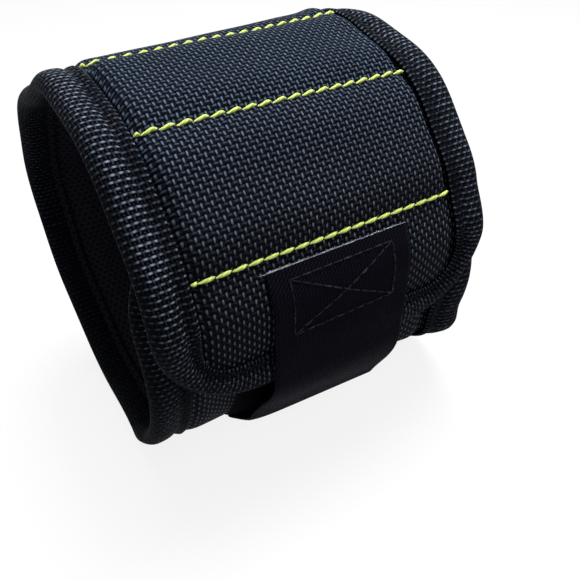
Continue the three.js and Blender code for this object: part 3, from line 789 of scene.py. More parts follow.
class Finish(Painter):
    """One material and the nodes that paint it."""

    def __init__(self, name, **constants):
        self.material = bpy.data.materials.new(name)
        self.material.use_nodes = True
        super().__init__(self.material.node_tree)
        self.shader = self.nodes["Principled BSDF"]
        for socket, value in constants.items():
            self.shader.inputs[socket.replace("_", " ")].default_value = value

    def ramp(self, value, low, high):
        """Eased share of a value between two limits."""
        settings = {"interpolation_type": "SMOOTHSTEP"}
        sockets = {"Value": value, "From Min": low, "From Max": high}
        return Shade(self, self.add("ShaderNodeMapRange", settings, sockets).outputs[0])

    def weave_place(self):
        """The piece's own map, in metres: across and along."""
        place = self.add("ShaderNodeUVMap", {"uv_map": "Weave"})
        parts = self.add("ShaderNodeSeparateXYZ", None, {0: place.outputs[0]})
        return Shade(self, parts.outputs[0]), Shade(self, parts.outputs[1])

    def level(self):
        """Height of the piece's points in the wrapped band, as a share of the band's height."""
        return Shade(self, self.add("ShaderNodeAttribute", {"attribute_name": "Level"}).outputs["Fac"])

    def noise(self, place, scale, detail=2.0):
        """Soft noise on the piece's own map, or in its own space where no place on the map is given."""
        if place is None:
            vector = self.add("ShaderNodeTexCoord").outputs["Object"]
        else:
            vector = self.add("ShaderNodeCombineXYZ", None, dict(enumerate(place))).outputs[0]
        sockets = {"Vector": vector, "Scale": scale, "Detail": detail}
        return Shade(self, self.add("ShaderNodeTexNoise", None, sockets).outputs["Fac"])

    def cells(self, place, pitches, wander, scale):
        """Column and row of a weave at its pitches, both moved by one noise times a share of a cell."""
        uneven = wander * (self.noise(place, scale) - 0.5)
        return [part / pitch + uneven for part, pitch in zip(place, pitches)]

    def plain_weave(self, across, along, swing, bulk):
        """Two sets of yarns that pass over and under each other in turn: in each cell a yarn's height is its
        round crown plus a swing, up or down by the cell's parity. Gives the upper height and which yarn is
        on top."""
        column = self.math("FLOOR", across)
        row = self.math("FLOOR", along)
        side = 1 - 2 * self.math("FLOORED_MODULO", column + row, 2)
        crown_across = self.math("COSINE", np.pi * (across - column - 0.5))
        crown_along = self.math("COSINE", np.pi * (along - row - 0.5))
        warp = side * crown_along * swing + crown_across * bulk
        weft = crown_along * bulk - side * crown_across * swing
        return self.math("MAXIMUM", warp, weft), self.math("GREATER_THAN", warp, weft)

    def cell_line(self, place, middle, half):
        """Soft line in each cell of a weave: full near its middle and gone at its half width away."""
        away = self.math("ABSOLUTE", self.math("FRACT", place) - middle)
        return 1 - self.ramp(away, low=0.35 * half, high=half)

    def ribs(self, place, pitch):
        """Sine waves of a pitch in metres."""
        return self.math("SINE", place * (FULL_TURN / pitch))

    def paint(self, colour, roughness, height=None, depth=0.0):
        """Links the colour and roughness, and a height as a bump of that depth in metres."""
        self.feed(self.shader.inputs["Base Color"], colour)
        self.feed(self.shader.inputs["Roughness"], roughness)
        if height is not None:
            bump = self.add("ShaderNodeBump", None, {"Strength": 1.0, "Distance": depth, "Height": height})
            self.feed(self.shader.inputs["Normal"], bump.outputs[0])
        return self.material


def nylon_finish(colours, length):
    """Coarse plain weave with painted highlights: a thin bright line lengthwise on each warp float, and a
    short one crosswise on each weft float that fades towards the band's ends as painted shade, uneven from
    yarn to yarn; near the ends the highlights turn greyer. The yarns are dark, with black gaps between them
    painted as shade."""
    finish = Finish("coarse_nylon", Specular_IOR_Level=0.012)
    place = finish.weave_place()
    column, row = finish.cells(place, (NYLON_PITCH, NYLON_PITCH), wander=0.4, scale=260.0)
    height, warp = finish.plain_weave(column, row, swing=0.45, bulk=0.55)
    lengthwise = finish.cell_line(column, middle=0.36, half=0.23)
    lengthwise = lengthwise * finish.cell_line(row, middle=0.5, half=0.6) * warp
    crosswise = finish.cell_line(row, middle=0.7, half=0.2)
    crosswise = crosswise * finish.cell_line(column, middle=0.5, half=0.52) * (1 - warp)
    along = place[1]
    # Painted light: a share that is low near the band's ends, which dims and greys the painted highlights
    # there.
    to_end = finish.math("MINIMUM", along, (length - LOOP_END_SHIFT) - along)
    upper = finish.ramp(to_end, *NYLON_FADE)
    broad = finish.noise(place, scale=40.0)
    spark = finish.noise(place, scale=900.0)
    # Painted highlights: bright lines on the floats, with the crosswise ones dimmed near the band's ends as
    # painted shade.
    painted_glint = (lengthwise + (0.08 + 0.37 * upper) * crosswise) * (0.1 + 0.6 * broad + 0.8 * spark)
    # Painted shade: the yarn darkens to the gap colour where the weave's height is low.
    yarn = finish.mix(finish.ramp(height, low=0.2, high=0.55), colours.nylon_gap_shade, colours.nylon)
    # Painted highlight colour, greyer near the band's ends.
    bright = finish.mix(upper, colours.nylon_end_highlight, colours.nylon_highlight)
    return finish.paint(finish.mix(painted_glint, yarn, bright), 0.62 - 0.2 * painted_glint, height, 0.4 * MILLIMETRE)


def tape_finish(colours):
    """Ribbed tape: ribs across the edge with bright floats set like bricks along each rib, faint lines
    lengthwise between them, and a row of bright dots along the sewn lip, all painted highlights. The painted
    highlights are brightest on the roll's crown, where its sheen would be, and fade into painted shade
    towards the foot of the ring."""
    finish = Finish("edge_tape", Specular_IOR_Level=0.01)
    place = finish.weave_place()
    across = place[0]
    column, row = finish.cells(place, (TAPE_COLUMN, TAPE_ROW), wander=0.3, scale=300.0)
    height, warp = finish.plain_weave(column, row, swing=0.3, bulk=0.7)
    rib = finish.cell_line(row, middle=0.6, half=0.22)
    crosswise = rib * finish.cell_line(column, middle=0.5, half=0.62) * (1 - warp)
    lengthwise = finish.cell_line(column, middle=0.35, half=0.2)
    lengthwise = lengthwise * finish.cell_line(row, middle=0.3, half=0.5) * warp
    lip = 1 - finish.ramp(across, low=0.25 * MILLIMETRE, high=0.8 * MILLIMETRE)
    broad = finish.ramp(finish.noise(place, scale=70.0), low=0.3, high=0.7)
    spark = finish.ramp(finish.noise(place, scale=600.0), low=0.3, high=0.75)
    # Painted highlight: the floats are brightest on the tape roll's crown, where its sheen would be.
    off_crown = finish.math("ABSOLUTE", across - TAPE_CROWN)
    wear_and_sheen = 1.0 - finish.ramp(off_crown, low=1.2 * MILLIMETRE, high=4 * MILLIMETRE)
    # Painted shade: the tape's highlights fade towards the foot of the ring, as if lit from above.
    raised = 0.4 + 0.6 * finish.ramp(finish.level(), low=0.2, high=0.7)
    floats = (crosswise + 0.15 * rib + 0.25 * lengthwise) * (0.25 + 0.75 * wear_and_sheen)
    painted_glint = (floats + 0.5 * lip * rib) * (0.12 + 0.35 * broad + 0.75 * spark) * raised
    colour = finish.mix(painted_glint, colours.tape, colours.tape_highlight)
    return finish.paint(colour, 0.6 - 0.2 * painted_glint, height, 0.4 * MILLIMETRE)


def lining_finish(colours):
    """Spacer mesh: rows of round holes set like bricks in a soft dark net, the holes painted darker as shade.
    """
    finish = Finish("mesh_lining", Specular_IOR_Level=0.02)
    place = finish.weave_place()
    row = place[1] / MESH_ROW
    shift = 0.5 * finish.math("FLOORED_MODULO", finish.math("FLOOR", row), 2)
    column = place[0] / MESH_COLUMN + shift
    squares = [(finish.math("FRACT", cell) - 0.5) ** 2 for cell in (column, row)]
    rim = finish.ramp(squares[0] + squares[1], low=0.03, high=0.14)
    fine = finish.noise(place, scale=2500.0)
    colour = finish.mix(rim * (0.6 + 0.6 * fine), colours.lining_hole_shade, colours.lining)
    return finish.paint(colour, 0.9 - 0.15 * rim, rim + 0.25 * fine, 0.5 * MILLIMETRE)


def pile_finish(colours):
    """Loop pile: a fuzzy dark felt of small curls."""
    finish = Finish("loop_pile", Specular_IOR_Level=0.02)
    place = finish.weave_place()
    curls = finish.noise(place, scale=1500.0, detail=4.0)
    fuzz = finish.noise(place, scale=4200.0, detail=3.0)
    colour = finish.mix(finish.ramp(curls, low=0.3, high=0.7), colours.pile_dark, colours.pile)
    return finish.paint(colour, 0.85 + 0.1 * fuzz, curls + 0.4 * fuzz, 0.7 * MILLIMETRE)


def strap_finish(colours):
    """Fine twill: narrow diagonal ribs, matte and nearly black, with paler flecks low on the strap."""
    finish = Finish("strap_twill", Specular_IOR_Level=0.015)
    place = finish.weave_place()
    height = finish.ribs(place[0] + place[1], TWILL_RIB) * 0.5 + finish.ribs(place[0], TWILL_YARN) * 0.3
    wear_and_sheen = finish.noise(place, scale=120.0, detail=4.0)
    share = finish.ramp(height, low=-0.2, high=0.8) * (0.3 + 0.9 * wear_and_sheen)
    colour = finish.mix(share, colours.strap_dark, colours.strap)
    fleck = finish.ramp(0.6 * height + finish.noise(place, scale=900.0), low=0.45, high=1.0)
    low = 1 - finish.ramp(finish.level(), low=0.2, high=0.34)
    colour = finish.mix(low * fleck, colour, colours.strap_fleck)
    return finish.paint(colour, 0.8 - 0.12 * wear_and_sheen, height, 0.16 * MILLIMETRE)


def thread_finish(name, colour, shade, ply, gloss=0.3, patches=0.0):
    """Twisted thread: slanting plies, paler on their crowns, and darker in patches where their scale isn't 0.
    The map runs along the thread and round it."""
    finish = Finish(name, Specular_IOR_Level=gloss)
    place = finish.weave_place()
    slant = finish.math("SINE", place[0] * (FULL_TURN / ply) + place[1] * (2 * FULL_TURN))
    fibre = finish.noise(place, scale=900.0, detail=3.0)
    share = finish.ramp(0.6 * slant + 0.8 * fibre, low=-0.8, high=0.6)
    if patches:
        lengthwise = (place[0], 0.0)
        share = share * finish.ramp(finish.noise(lengthwise, patches, detail=0.0), low=0.46, high=0.74)
    colour = finish.mix(share, shade, colour)
    return finish.paint(colour, 0.5 - 0.12 * share, slant + 0.5 * fibre, 0.05 * MILLIMETRE)


def hook_finish(colours):
    """Moulded hook tape: plain dark nylon with a faint gloss and fine grain."""
    finish = Finish("hook_tape", Specular_IOR_Level=0.2)
    grain = finish.noise(None, scale=1800.0)
    colour = finish.mix(grain, colours.hook, colours.pile)
    return finish.paint(colour, 0.4 + 0.2 * grain, grain, 0.05 * MILLIMETRE)


def plating_finish(colours):
    """Plated steel: satin grey metal with faint handling marks."""
    finish = Finish("magnet_plating", Metallic=1.0)
    marks = finish.noise(None, scale=900.0, detail=5.0)
    colour = finish.mix(marks, colours.plating_mark, colours.plating)
    return finish.paint(colour, 0.24 + 0.2 * marks, marks, 0.02 * MILLIMETRE)


def wristband(context):
    """Sizes, colours and the wrapped band of the scene."""
    sizes = context.scene.wristband_sizes
    return sizes, context.scene.wristband_colours, Band(sizes)


class WRISTBAND_OT_outer_cloth(bpy.types.Operator):
    """Makes the outer nylon of the band, crowned over each pocket and drawn down at each stitch line"""

    bl_idname = "wristband.outer_cloth"
    bl_label = "Outer cloth"

    def execute(self, context):
        sizes, colours, band = wristband(context)
        material = nylon_finish(colours, band.length)
        over = band.cloth_height

        def under(across, along):
            return over(across, along) - sizes.cloth

        for number in range(len(CREASES)):
            panel = PANELS[number]
            name = f"cloth_{panel}"
            piece = layer_piece(name, band, number, material, CLOTH_STEP, CLOTH_COLUMNS, over, under)
            stand_for(piece, "shell_nylon", *[f"shell_{held}" for held in crease_panels(number)])
        return {"FINISHED"}


class WRISTBAND_OT_lining(bpy.types.Operator):
    """Makes the mesh lining on the band's inside"""

    bl_idname = "wristband.lining"
    bl_label = "Lining"

    def execute(self, context):
        sizes, colours, band = wristband(context)
        material = lining_finish(colours)

        def over(across, along):
            return np.full_like(across, sizes.lining_face)

        def under(across, along):
            inward = band.edge_distance(across, along) - sizes.groove_place
            swell = sizes.lining_swell * rise_share(inward, sizes.side_reach, power=2)
            return sizes.lining_face - sizes.lining - swell

        for number in range(len(CREASES)):
            name = f"mesh_{PANELS[number]}"
            piece = layer_piece(name, band, number, material, LINING_STEP, LINING_COLUMNS, over, under)
            stand_for(piece, "mesh_lining", *[f"lining_{panel}" for panel in crease_panels(number)])
        return {"FINISHED"}


def tape_section(sizes):
    """Section of the folded tape: half its thickness is a round nose times a flat body with an outer roll, a
    sewn furrow and a lip pressed in by a square; the outer wall goes round the edge, and the inner wall comes
    back one cloth inside it."""
    width = sizes.tape_width
    depth = width * (1 - np.cos(np.linspace(0, QUARTER_TURN, TAPE_SAMPLES)))
    nose = np.sqrt(1 - (1 - np.clip(depth / sizes.tape_nose, 0, 1)) ** 2)
    middle = sizes.furrow_place / 2
    roll = sizes.tape_roll * np.clip(1 - ((depth - middle) / middle) ** 2, 0, 1)
    furrow = sizes.tape_furrow * bell(depth - sizes.furrow_place, sizes.furrow_width)
    tucked = sizes.lip_drop * np.clip((depth - width + sizes.tape_lip) / sizes.tape_lip, 0, 1) ** 2
    half = nose * (sizes.tape_half + roll - furrow - tucked)
    top = np.stack([depth[::-1], half[::-1]], -1)
    bottom = np.stack([depth[1:], -half[1:]], -1)
    wall = np.concatenate([top, bottom])
    run = np.gradient(wall, axis=0)
    run /= np.linalg.norm(run, axis=1)[:, None]
    normal = np.stack([-run[:, 1], run[:, 0]], -1)
    inward = np.sign((normal * ([width, 0] - wall)).sum(1))[:, None]
    inner = wall + sizes.tape_cloth * normal * inward
    section = np.concatenate([wall, inner[::-1]])
    around = run_lengths(wall)
    return section - [0, sizes.tape_half], np.concatenate([around, around[::-1]])


def tape_piece(name, band, number, material, edge, facing, marks, nodes):
    """The tape's section carried along an outline: each point goes in from the edge by the section's depth,
    less in the middle of a corner, by the squared sine of twice its angle."""
    sizes = band.sizes
    section, around = tape_section(sizes)
    narrow = sizes.corner_narrow / sizes.tape_width * (2 * facing[:, :1] * facing[:, 1:]) ** 2
    depth = section[None, :, 0] * (1 - narrow)
    across = edge[:, :1] + facing[:, :1] * depth
    along = edge[:, 1:] + facing[:, 1:] * depth
    points = band.place(across, along, np.broadcast_to(section[None, :, 1], across.shape))
    weave = np.stack(np.broadcast_arrays(around[None], marks[:, None]), -1)
    piece = make_piece(name, points, swept_faces(len(edge), len(section)), weave, material, sharp=75)
    follow_crease(piece, band, number)
    stand_for(piece, "binding_tape", *nodes)


def end_outline(band, low):
    """Outline round the strap end, the directions in from it and the marks along it: up the left side, a
    quarter circle, the end, a quarter circle, and back down the right side."""
    radius = band.sizes.corner_radius
    flat_half = band.half_width - radius
    side = even_steps(low, radius, TAPE_STEP)[:-1]
    turn = even_steps(0, QUARTER_TURN, TAPE_STEP / radius)
    straight = even_steps(-flat_half, flat_half, TAPE_STEP)[1:-1]
    left = np.stack([np.full_like(side, -band.half_width), side], -1)
    arc = np.stack([-flat_half - radius * np.cos(turn), radius - radius * np.sin(turn)], -1)
    flat = np.stack([straight, np.zeros_like(straight)], -1)
    left_half = np.concatenate([left, arc])
    left_facing = np.concatenate([np.tile([1.0, 0.0], (len(side), 1)), heading(turn)])
    flat_facing = np.tile([0.0, 1.0], (len(flat), 1))
    mirror = np.array([-1.0, 1.0])
    edge = np.concatenate([left_half, flat, left_half[::-1] * mirror])
    facing = np.concatenate([left_facing, flat_facing, left_facing[::-1] * mirror])
    return edge, facing, low - run_lengths(edge)


class WRISTBAND_OT_edge_tape(bpy.types.Operator):
    """Makes the ribbed tape folded over the band's edge, round both ends and along both sides"""

    bl_idname = "wristband.edge_tape"
    bl_label = "Edge tape"

    def execute(self, context):
        band = Band(context.scene.wristband_sizes)
        material = tape_finish(context.scene.wristband_colours)
        edge, facing, marks = end_outline(band, band.cuts[1])
        tape_piece("tape_strap_end", band, 0, material, edge, facing, marks, ["binding_strap_end"])
        right_start = marks[-1] + band.cuts[1]
        edge, facing, marks = end_outline(band, band.length - band.cuts[LAST_CREASE])
        edge = edge * [1, -1] + [0, band.length]
        facing = facing * [1, -1]
        marks = band.length - marks
        nodes = ["binding_loop_tip", "binding_left_loop_front", "binding_right_loop_front"]
        tape_piece("tape_loop_tip", band, LAST_CREASE, material, edge, facing, marks, nodes)
        for number in range(1, LAST_CREASE):
            along = even_steps(*band.cuts[number : number + 2], TAPE_STEP)
            for side, marks in (("left", along), ("right", right_start - along)):
                sign = -1.0 if side == "left" else 1.0
                edge = np.stack([np.full_like(along, sign * band.half_width), along], -1)
                facing = np.tile([-sign, 0.0], (len(along), 1))
                place = f"{side}_{PANELS[number]}"
                nodes = [f"binding_{place}"]
                tape_piece(f"tape_{place}", band, number, material, edge, facing, marks, nodes)
        return {"FINISHED"}


class WRISTBAND_OT_seam_thread(bpy.types.Operator):
    """Makes the lines of bright stitches between the pockets"""

    bl_idname = "wristband.seam_thread"
    bl_label = "Seam thread"
    rings = 10
    sides = 8

    def execute(self, context):
        sizes, colours, band = wristband(context)
        material = thread_finish("seam_thread", colours.thread, colours.thread_shade, SEAM_PLY)
        half = band.seam_half() + sizes.stitch_past
        lengths = np.full(sizes.stitch_count + 1, (2 * half - sizes.knot) / sizes.stitch_count)
        lengths[0] = sizes.knot
        starts = -half + np.cumsum(lengths) - lengths
        faces = rod_faces(self.rings, self.sides, len(starts))
        for number in range(SEAM_TOTAL):
            line = band.seams[number]
            points, weave = self.stitches(band, line, starts[:, None, None], lengths[:, None, None])
            piece = make_piece(f"stitches_{number + 1}", points, faces, weave, material)
            follow_crease(piece, band, number)
            stand_for(piece, "seam_thread", f"seam_{number + 1}")
        return {"FINISHED"}

    def stitches(self, band, line, starts, lengths):
        """One line of stitches: each is a rod that leans along the band by an eased share, arches up by a
        half sine, and is thick by a power of a half sine that grows towards its right end."""
        sizes = band.sizes
        share, around = rod_grid(self.rings, self.sides)
        swell = np.sin(np.pi * (0.06 + 0.86 * share)) ** 0.6 * (0.8 + 0.3 * share)
        radius = sizes.stitch_radius * swell
        across = starts + lengths * (0.01 + 0.97 * share) + 0 * around
        lean = sizes.stitch_slant * (smooth_step(share) - 0.5) * lengths / lengths.max()
        along = line + lean + radius * np.cos(around)
        arch = sizes.stitch_radius * (0.75 * np.sin(np.pi * share) - 0.1)
        taut = band.seam_half() - sizes.side_reach / 2
        base = band.cloth_height(np.clip(across, -taut, taut), np.full_like(across, line))
        height = base + arch + radius * np.sin(around)
        return band.place(across, along, height), rod_weave(across, around)


class WRISTBAND_OT_loop_panel(bpy.types.Operator):
    """Makes the fuzzy loop panel that the strap closes on"""

    bl_idname = "wristband.loop_panel"
    bl_label = "Loop panel"

    def execute(self, context):
        sizes, colours, band = wristband(context)
        material = pile_finish(colours)
        first = LAST_CREASE - 2
        tip = band.length - sizes.groove_place
        cuts = [band.seams[-1] + sizes.pile_gap, *band.cuts[first + 1 : LAST_CREASE + 1], tip]
        half = sizes.pile_width / 2
        chance = np.random.default_rng(7)
        for step, panel in enumerate(PANELS[first : LAST_CREASE + 1]):
            low, high = cuts[step : step + 2]
            along = even_steps(low, high, PILE_STEP)[:, None]
            across = np.linspace(-1, 1, PILE_COLUMNS)[None] * half
            along, across = np.broadcast_arrays(along, across)
            side = rise_share(half - np.abs(across), sizes.pile_edge, power=2)
            ends = np.minimum(along - cuts[0], cuts[-1] - along)
            edge = side * rise_share(ends, sizes.pile_edge, power=2)
            curl = chance.uniform(-1, 1, along.shape)
            curl[[0, -1]] = 0
            floor = band.cloth_height(across, along)
            tall = sizes.pile * (0.25 + 0.75 * edge) + sizes.pile_curl * curl * edge
            upper = band.place(across, along, floor + tall)
            lower = band.place(across, along, floor)
            points, weave = folded_sheet(upper, lower, across, along)
            faces = swept_faces(len(along), 2 * PILE_COLUMNS)
            piece = make_piece(f"loop_pile_{panel}", points, faces, weave, material)
            follow_crease(piece, band, first + step)
            stand_for(piece, "loop_pile", *[f"pile_{name}" for name in crease_panels(first + step)])
            flat = (sizes.pile_width, high - low)
        return {"FINISHED"}


def bezier(start, start_handle, end_handle, end):
    """Cubic curve between two points, drawn towards two handles."""
    share = np.linspace(0, 1, CURVE_SAMPLES)[:, None]
    left = 1 - share
    first = left**3 * start + 3 * share * left**2 * start_handle
    return first + 3 * share**2 * left * end_handle + share**3 * end


class StrapLine:
    """Middle line of the strap in the (y, z) plane: down the strap end, over its edge and on to the pile."""

    def __init__(self, band):
        sizes = band.sizes
        self.band = band
        sewn = np.linspace(sizes.strap_cut, STRAP_LEAVES, LINE_SAMPLES)
        half = sizes.strap / 2
        on_tape = TAPE_AIR + half
        on_cloth = sizes.groove_height + sizes.plain_rise + CLOTH_AIR + half
        share = smooth_step((sewn - STEP_START) / STEP_REACH)
        down = band.place(0 * sewn, sewn, on_tape + (on_cloth - on_tape) * share)[:, 1:]
        held = band.front_fold + np.linspace(sizes.strap_meet, -sizes.strap_tip, LINE_SAMPLES)
        over_pile = band.cloth_height(0 * held, held) + sizes.pile + sizes.hook_height + half
        tuck = band.place(0 * held, held, over_pile)[:, 1:]
        leave = sizes.strap_pull * heading(band.angles[0])
        under = sizes.strap_pull * (tuck[1] - tuck[0]) / np.linalg.norm(tuck[1] - tuck[0])
        hang = bezier(down[-1], down[-1] - leave, tuck[0] - under, tuck[0])
        self.place = np.concatenate([down, hang[1:], tuck[1:]])
        self.run = run_lengths(self.place)
        self.length = self.run[-1]
        self.free = self.run[len(down) - 1]

    def at(self, run):
        """Place of the line in (y, z) at a distance along the strap."""
        return np.stack([np.interp(run, self.run, self.place[:, axis]) for axis in (0, 1)])

    def points(self, across, run, height):
        """Point of the frame at a distance along the strap, with a height along its outward normal. Over the
        share of the free length, its right side is raised by the twist times a half sine, its left edge
        curls in by the sixth power of the share of the half width, and it is moved to the left by the skew
        times a square, more of it on the left side."""
        sizes = self.band.sizes
        share = np.clip((run - self.free) / (self.length - self.free), 0, 1)
        sideways = across / sizes.strap_width
        left = np.clip(-2 * sideways, 0, 1)
        height = height + sizes.strap_twist * (0.5 + sideways) * np.sin(np.pi * share)
        height = height - sizes.strap_curl * left**6 * smooth_step(3 * share)
        across = across - sizes.strap_skew * share**2 * (0.7 - 0.6 * sideways)
        y, z = self.at(run)
        along_y, along_z = self.at(run + SLOPE_NUDGE) - self.at(run - SLOPE_NUDGE)
        size = np.hypot(along_y, along_z)
        parts = np.broadcast_arrays(across, y + height * along_z / size, z - height * along_y / size)
        return np.stack(parts, -1)


def strap_length(name, line, material, low, high, corner):
    """A length of strap: a flat section with round edges on rows along its line, whose half width loses a
    circle's sagitta in the corners at its far end."""
    sizes = line.band.sizes
    run = even_steps(low, high, STRAP_STEP)[:, None]
    share = np.sin(np.linspace(-1, 1, STRAP_COLUMNS) * QUARTER_TURN)[None]
    to_tip = np.clip(high - run, 0, None)
    sagitta = corner - np.sqrt(np.maximum(corner**2 - (corner - to_tip) ** 2, 0))
    across = share * (sizes.strap_width / 2 - np.where(to_tip < corner, sagitta, 0))
    thick = sizes.strap / 2 * np.clip((1 - share**2) * 14, 0, 1) ** 0.5
    thick = np.broadcast_to(thick, across.shape)
    upper = line.points(across, run, thick)
    lower = line.points(across, run, -thick)
    points, weave = folded_sheet(upper, lower, across, run)
    piece = make_piece(name, points, swept_faces(len(run), 2 * STRAP_COLUMNS), weave, material)
    return piece, (sizes.strap_width, high - low)


class WRISTBAND_OT_strap(bpy.types.Operator):
    """Makes the closing strap: its sewn part with a frayed cut end, its free part and its hook patch"""

    bl_idname = "wristband.strap"
    bl_label = "Strap"

    def execute(self, context):
        sizes, colours, band = wristband(context)
        line = StrapLine(band)
        material = strap_finish(colours)
        split = sizes.strap_cut - sizes.strap_split
        sewn, flat = strap_length("strap_sewn", line, material, 0, split, 0)
        follow_crease(sewn, band, 0)
        stand_for(sewn, "strap_weave", "strap_anchor")
        free, flat = strap_length("strap_loose", line, material, split, line.length, sizes.strap_corner)
        tip = line.points(np.zeros(1), np.array([line.length]), np.zeros(1))[0]
        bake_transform(free)
        stand_for(free, "strap_weave", "strap_free")
        self.make_fray(band, colours)
        self.make_hooks(line, colours)
        return {"FINISHED"}

    def make_fray(self, band, colours):
        """Cut yarns along the strap's sewn end, each a thin four-sided rod of its own lean and length."""
        chance = np.random.default_rng(11)
        rings = 4
        sides = 4

        def drawn(low, high):
            return chance.uniform(low, high, (FRAY_COUNT, 1, 1))

        share, around = rod_grid(rings, sides)
        half = band.sizes.strap_width / 2
        start = drawn(-half, half)
        lean = drawn(-FRAY_LEAN, FRAY_LEAN)
        reach = drawn(0.0, FRAY_REACH)
        lift = drawn(-FRAY_LIFT, FRAY_LIFT)
        radius = drawn(*FRAY_RADII) * (1.1 - share)
        across = start + lean * share + radius * np.cos(around)
        along = band.sizes.strap_cut + reach * share + 0 * around
        base = band.cloth_height(across, along) + 0.65 * band.sizes.strap
        points = band.place(across, along, base + lift + radius * np.sin(around))
        # Painted sheen: the cut yarns take a pale colour, though the strap's yarn is near black.
        material = thread_finish("cut_yarn", colours.fray_sheen, colours.fray_shade, FRAY_PLY)
        weave = rod_weave(along, around)
        piece = make_piece("strap_fray", points, rod_faces(rings, sides, FRAY_COUNT), weave, material)
        follow_crease(piece, band, 0)

    def make_hooks(self, line, colours):
        """A thin base under the strap and rows of small hooks, each a tapered rod curved like a crook."""
        sizes = line.band.sizes
        half = sizes.strap_width / 2 - sizes.hook_margin
        high = line.length - sizes.hook_margin
        low = line.length - sizes.hook_length
        face = -sizes.strap / 2
        run = np.linspace(low, high, HOOK_BASE_ROWS)[:, None]
        across, run = np.broadcast_arrays(np.linspace(-half, half, HOOK_BASE_COLUMNS)[None], run)
        top = line.points(across, run, np.full(across.shape, face - HOOK_AIR))
        under = line.points(across, run, np.full(across.shape, face - sizes.hook_base))
        base = folded_sheet(top, under, across, run)[0].reshape(-1, 3)
        rings = 5
        sides = 4
        share, around = rod_grid(rings, sides)
        columns = np.linspace(-half, half, HOOK_COLUMNS + 2)[1:-1]
        rows = np.linspace(low, high, HOOK_ROWS + 2)[1:-1]
        foot_across, foot_run = (part.reshape(-1, 1, 1) for part in np.meshgrid(columns, rows))
        radius = sizes.hook_radius * (1 - 0.5 * share)
        turn = share * np.pi * 0.75
        hook_across = foot_across + radius * np.sin(around)
        hook_run = foot_run + sizes.hook_throw * (1 - np.cos(turn)) + radius * np.cos(around)
        depth = face - sizes.hook_base - (sizes.hook_height - sizes.hook_base) * np.sin(turn)
        hooks = line.points(hook_across, hook_run, depth + 0 * hook_across).reshape(-1, 3)
        points = np.concatenate([base, hooks])
        crooks = rod_faces(rings, sides, len(foot_run)) + len(base)
        faces = np.concatenate([swept_faces(HOOK_BASE_ROWS, 2 * HOOK_BASE_COLUMNS), crooks])
        piece = make_piece("hook_patch", points, faces, points[:, :2], hook_finish(colours))
        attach(piece, "strap")
        stand_for(piece, "hook_tape", "strap_hooks")


class WRISTBAND_OT_box_stitching(bpy.types.Operator):
    """Makes the crossed box of stitches that holds the strap to the band"""

    bl_idname = "wristband.box_stitching"
    bl_label = "Box stitching"

    def execute(self, context):
        sizes, colours, band = wristband(context)
        line = StrapLine(band)
        spans = self.spans(sizes)
        rings = 6
        sides = 6
        share, around = rod_grid(rings, sides)
        share = 0.06 + 0.88 * share
        bow = np.sin(np.pi * share)
        start = spans[:, 0, :, None, None]
        run = spans[:, 1, :, None, None] - start
        unit = run / np.linalg.norm(run, axis=1, keepdims=True)
        radius = sizes.box_thread * bow**0.3
        aside = radius * np.cos(around)
        across = start[:, 0] + run[:, 0] * share + unit[:, 1] * aside
        along = start[:, 1] + run[:, 1] * share - unit[:, 0] * aside
        lift = sizes.strap / 2 + sizes.box_thread * (1.1 * bow - 0.5) + radius * np.sin(around)
        points = line.points(across, sizes.strap_cut - along, lift + 0 * across)
        weave = rod_weave(across + along, around)
        finish = {"gloss": 0.08, "patches": 300.0}
        material = thread_finish("box_thread", colours.box_thread, colours.box_shade, BOX_PLY, **finish)
        piece = make_piece("box_stitches", points, rod_faces(rings, sides, len(spans)), weave, material)
        follow_crease(piece, band, 0)
        stand_for(piece, "box_thread", "strap_box_stitch")
        return {"FINISHED"}

    def spans(self, sizes):
        """Start and end of each stitch on the four sides and two diagonals of the box, in even steps."""
        half = sizes.box_half
        low = sizes.box_low
        high = sizes.box_high
        corners = np.array([[-half, low], [half, low], [half, high], [-half, high]])
        spans = []
        for start, finish in zip(corners[[0, 1, 2, 3, 0, 1]], corners[[1, 2, 3, 0, 2, 3]]):
            count = int(np.linalg.norm(finish - start) / sizes.box_stitch)
            knots = start + (finish - start) * np.linspace(0, 1, count + 1)[:, None]
            spans.append(np.stack([knots[:-1], knots[1:]], 1))
        return np.concatenate(spans)


class WRISTBAND_OT_magnets(bpy.types.Operator):
    """Plates the bar magnets inside the pockets"""

    bl_idname = "wristband.magnets"
    bl_label = "Magnets"

    def execute(self, context):
        material = plating_finish(context.scene.wristband_colours)
        for number in range(1, POCKET_TOTAL + 1):
            mesh = frame["nodes"][f"magnet_pocket_{number}"].data
            mesh.materials.clear()
            mesh.materials.append(material)
        return {"FINISHED"}


def view_turn(place, aim):
    """Turn of a camera or lamp at a place that looks at a point."""
    return (Vector(aim) - Vector(place)).to_track_quat("-Z", "Y")


def add_lamp(name, place, aim, size, power):
    """A soft square lamp aimed at a point."""
    lamp = bpy.data.lights.new(name, "AREA")
    lamp.size = size
    lamp.energy = power
    holder = bpy.data.objects.new(name, lamp)
    holder.location = place
    holder.rotation_euler = view_turn(place, aim).to_euler()
    bpy.context.scene.collection.objects.link(holder)


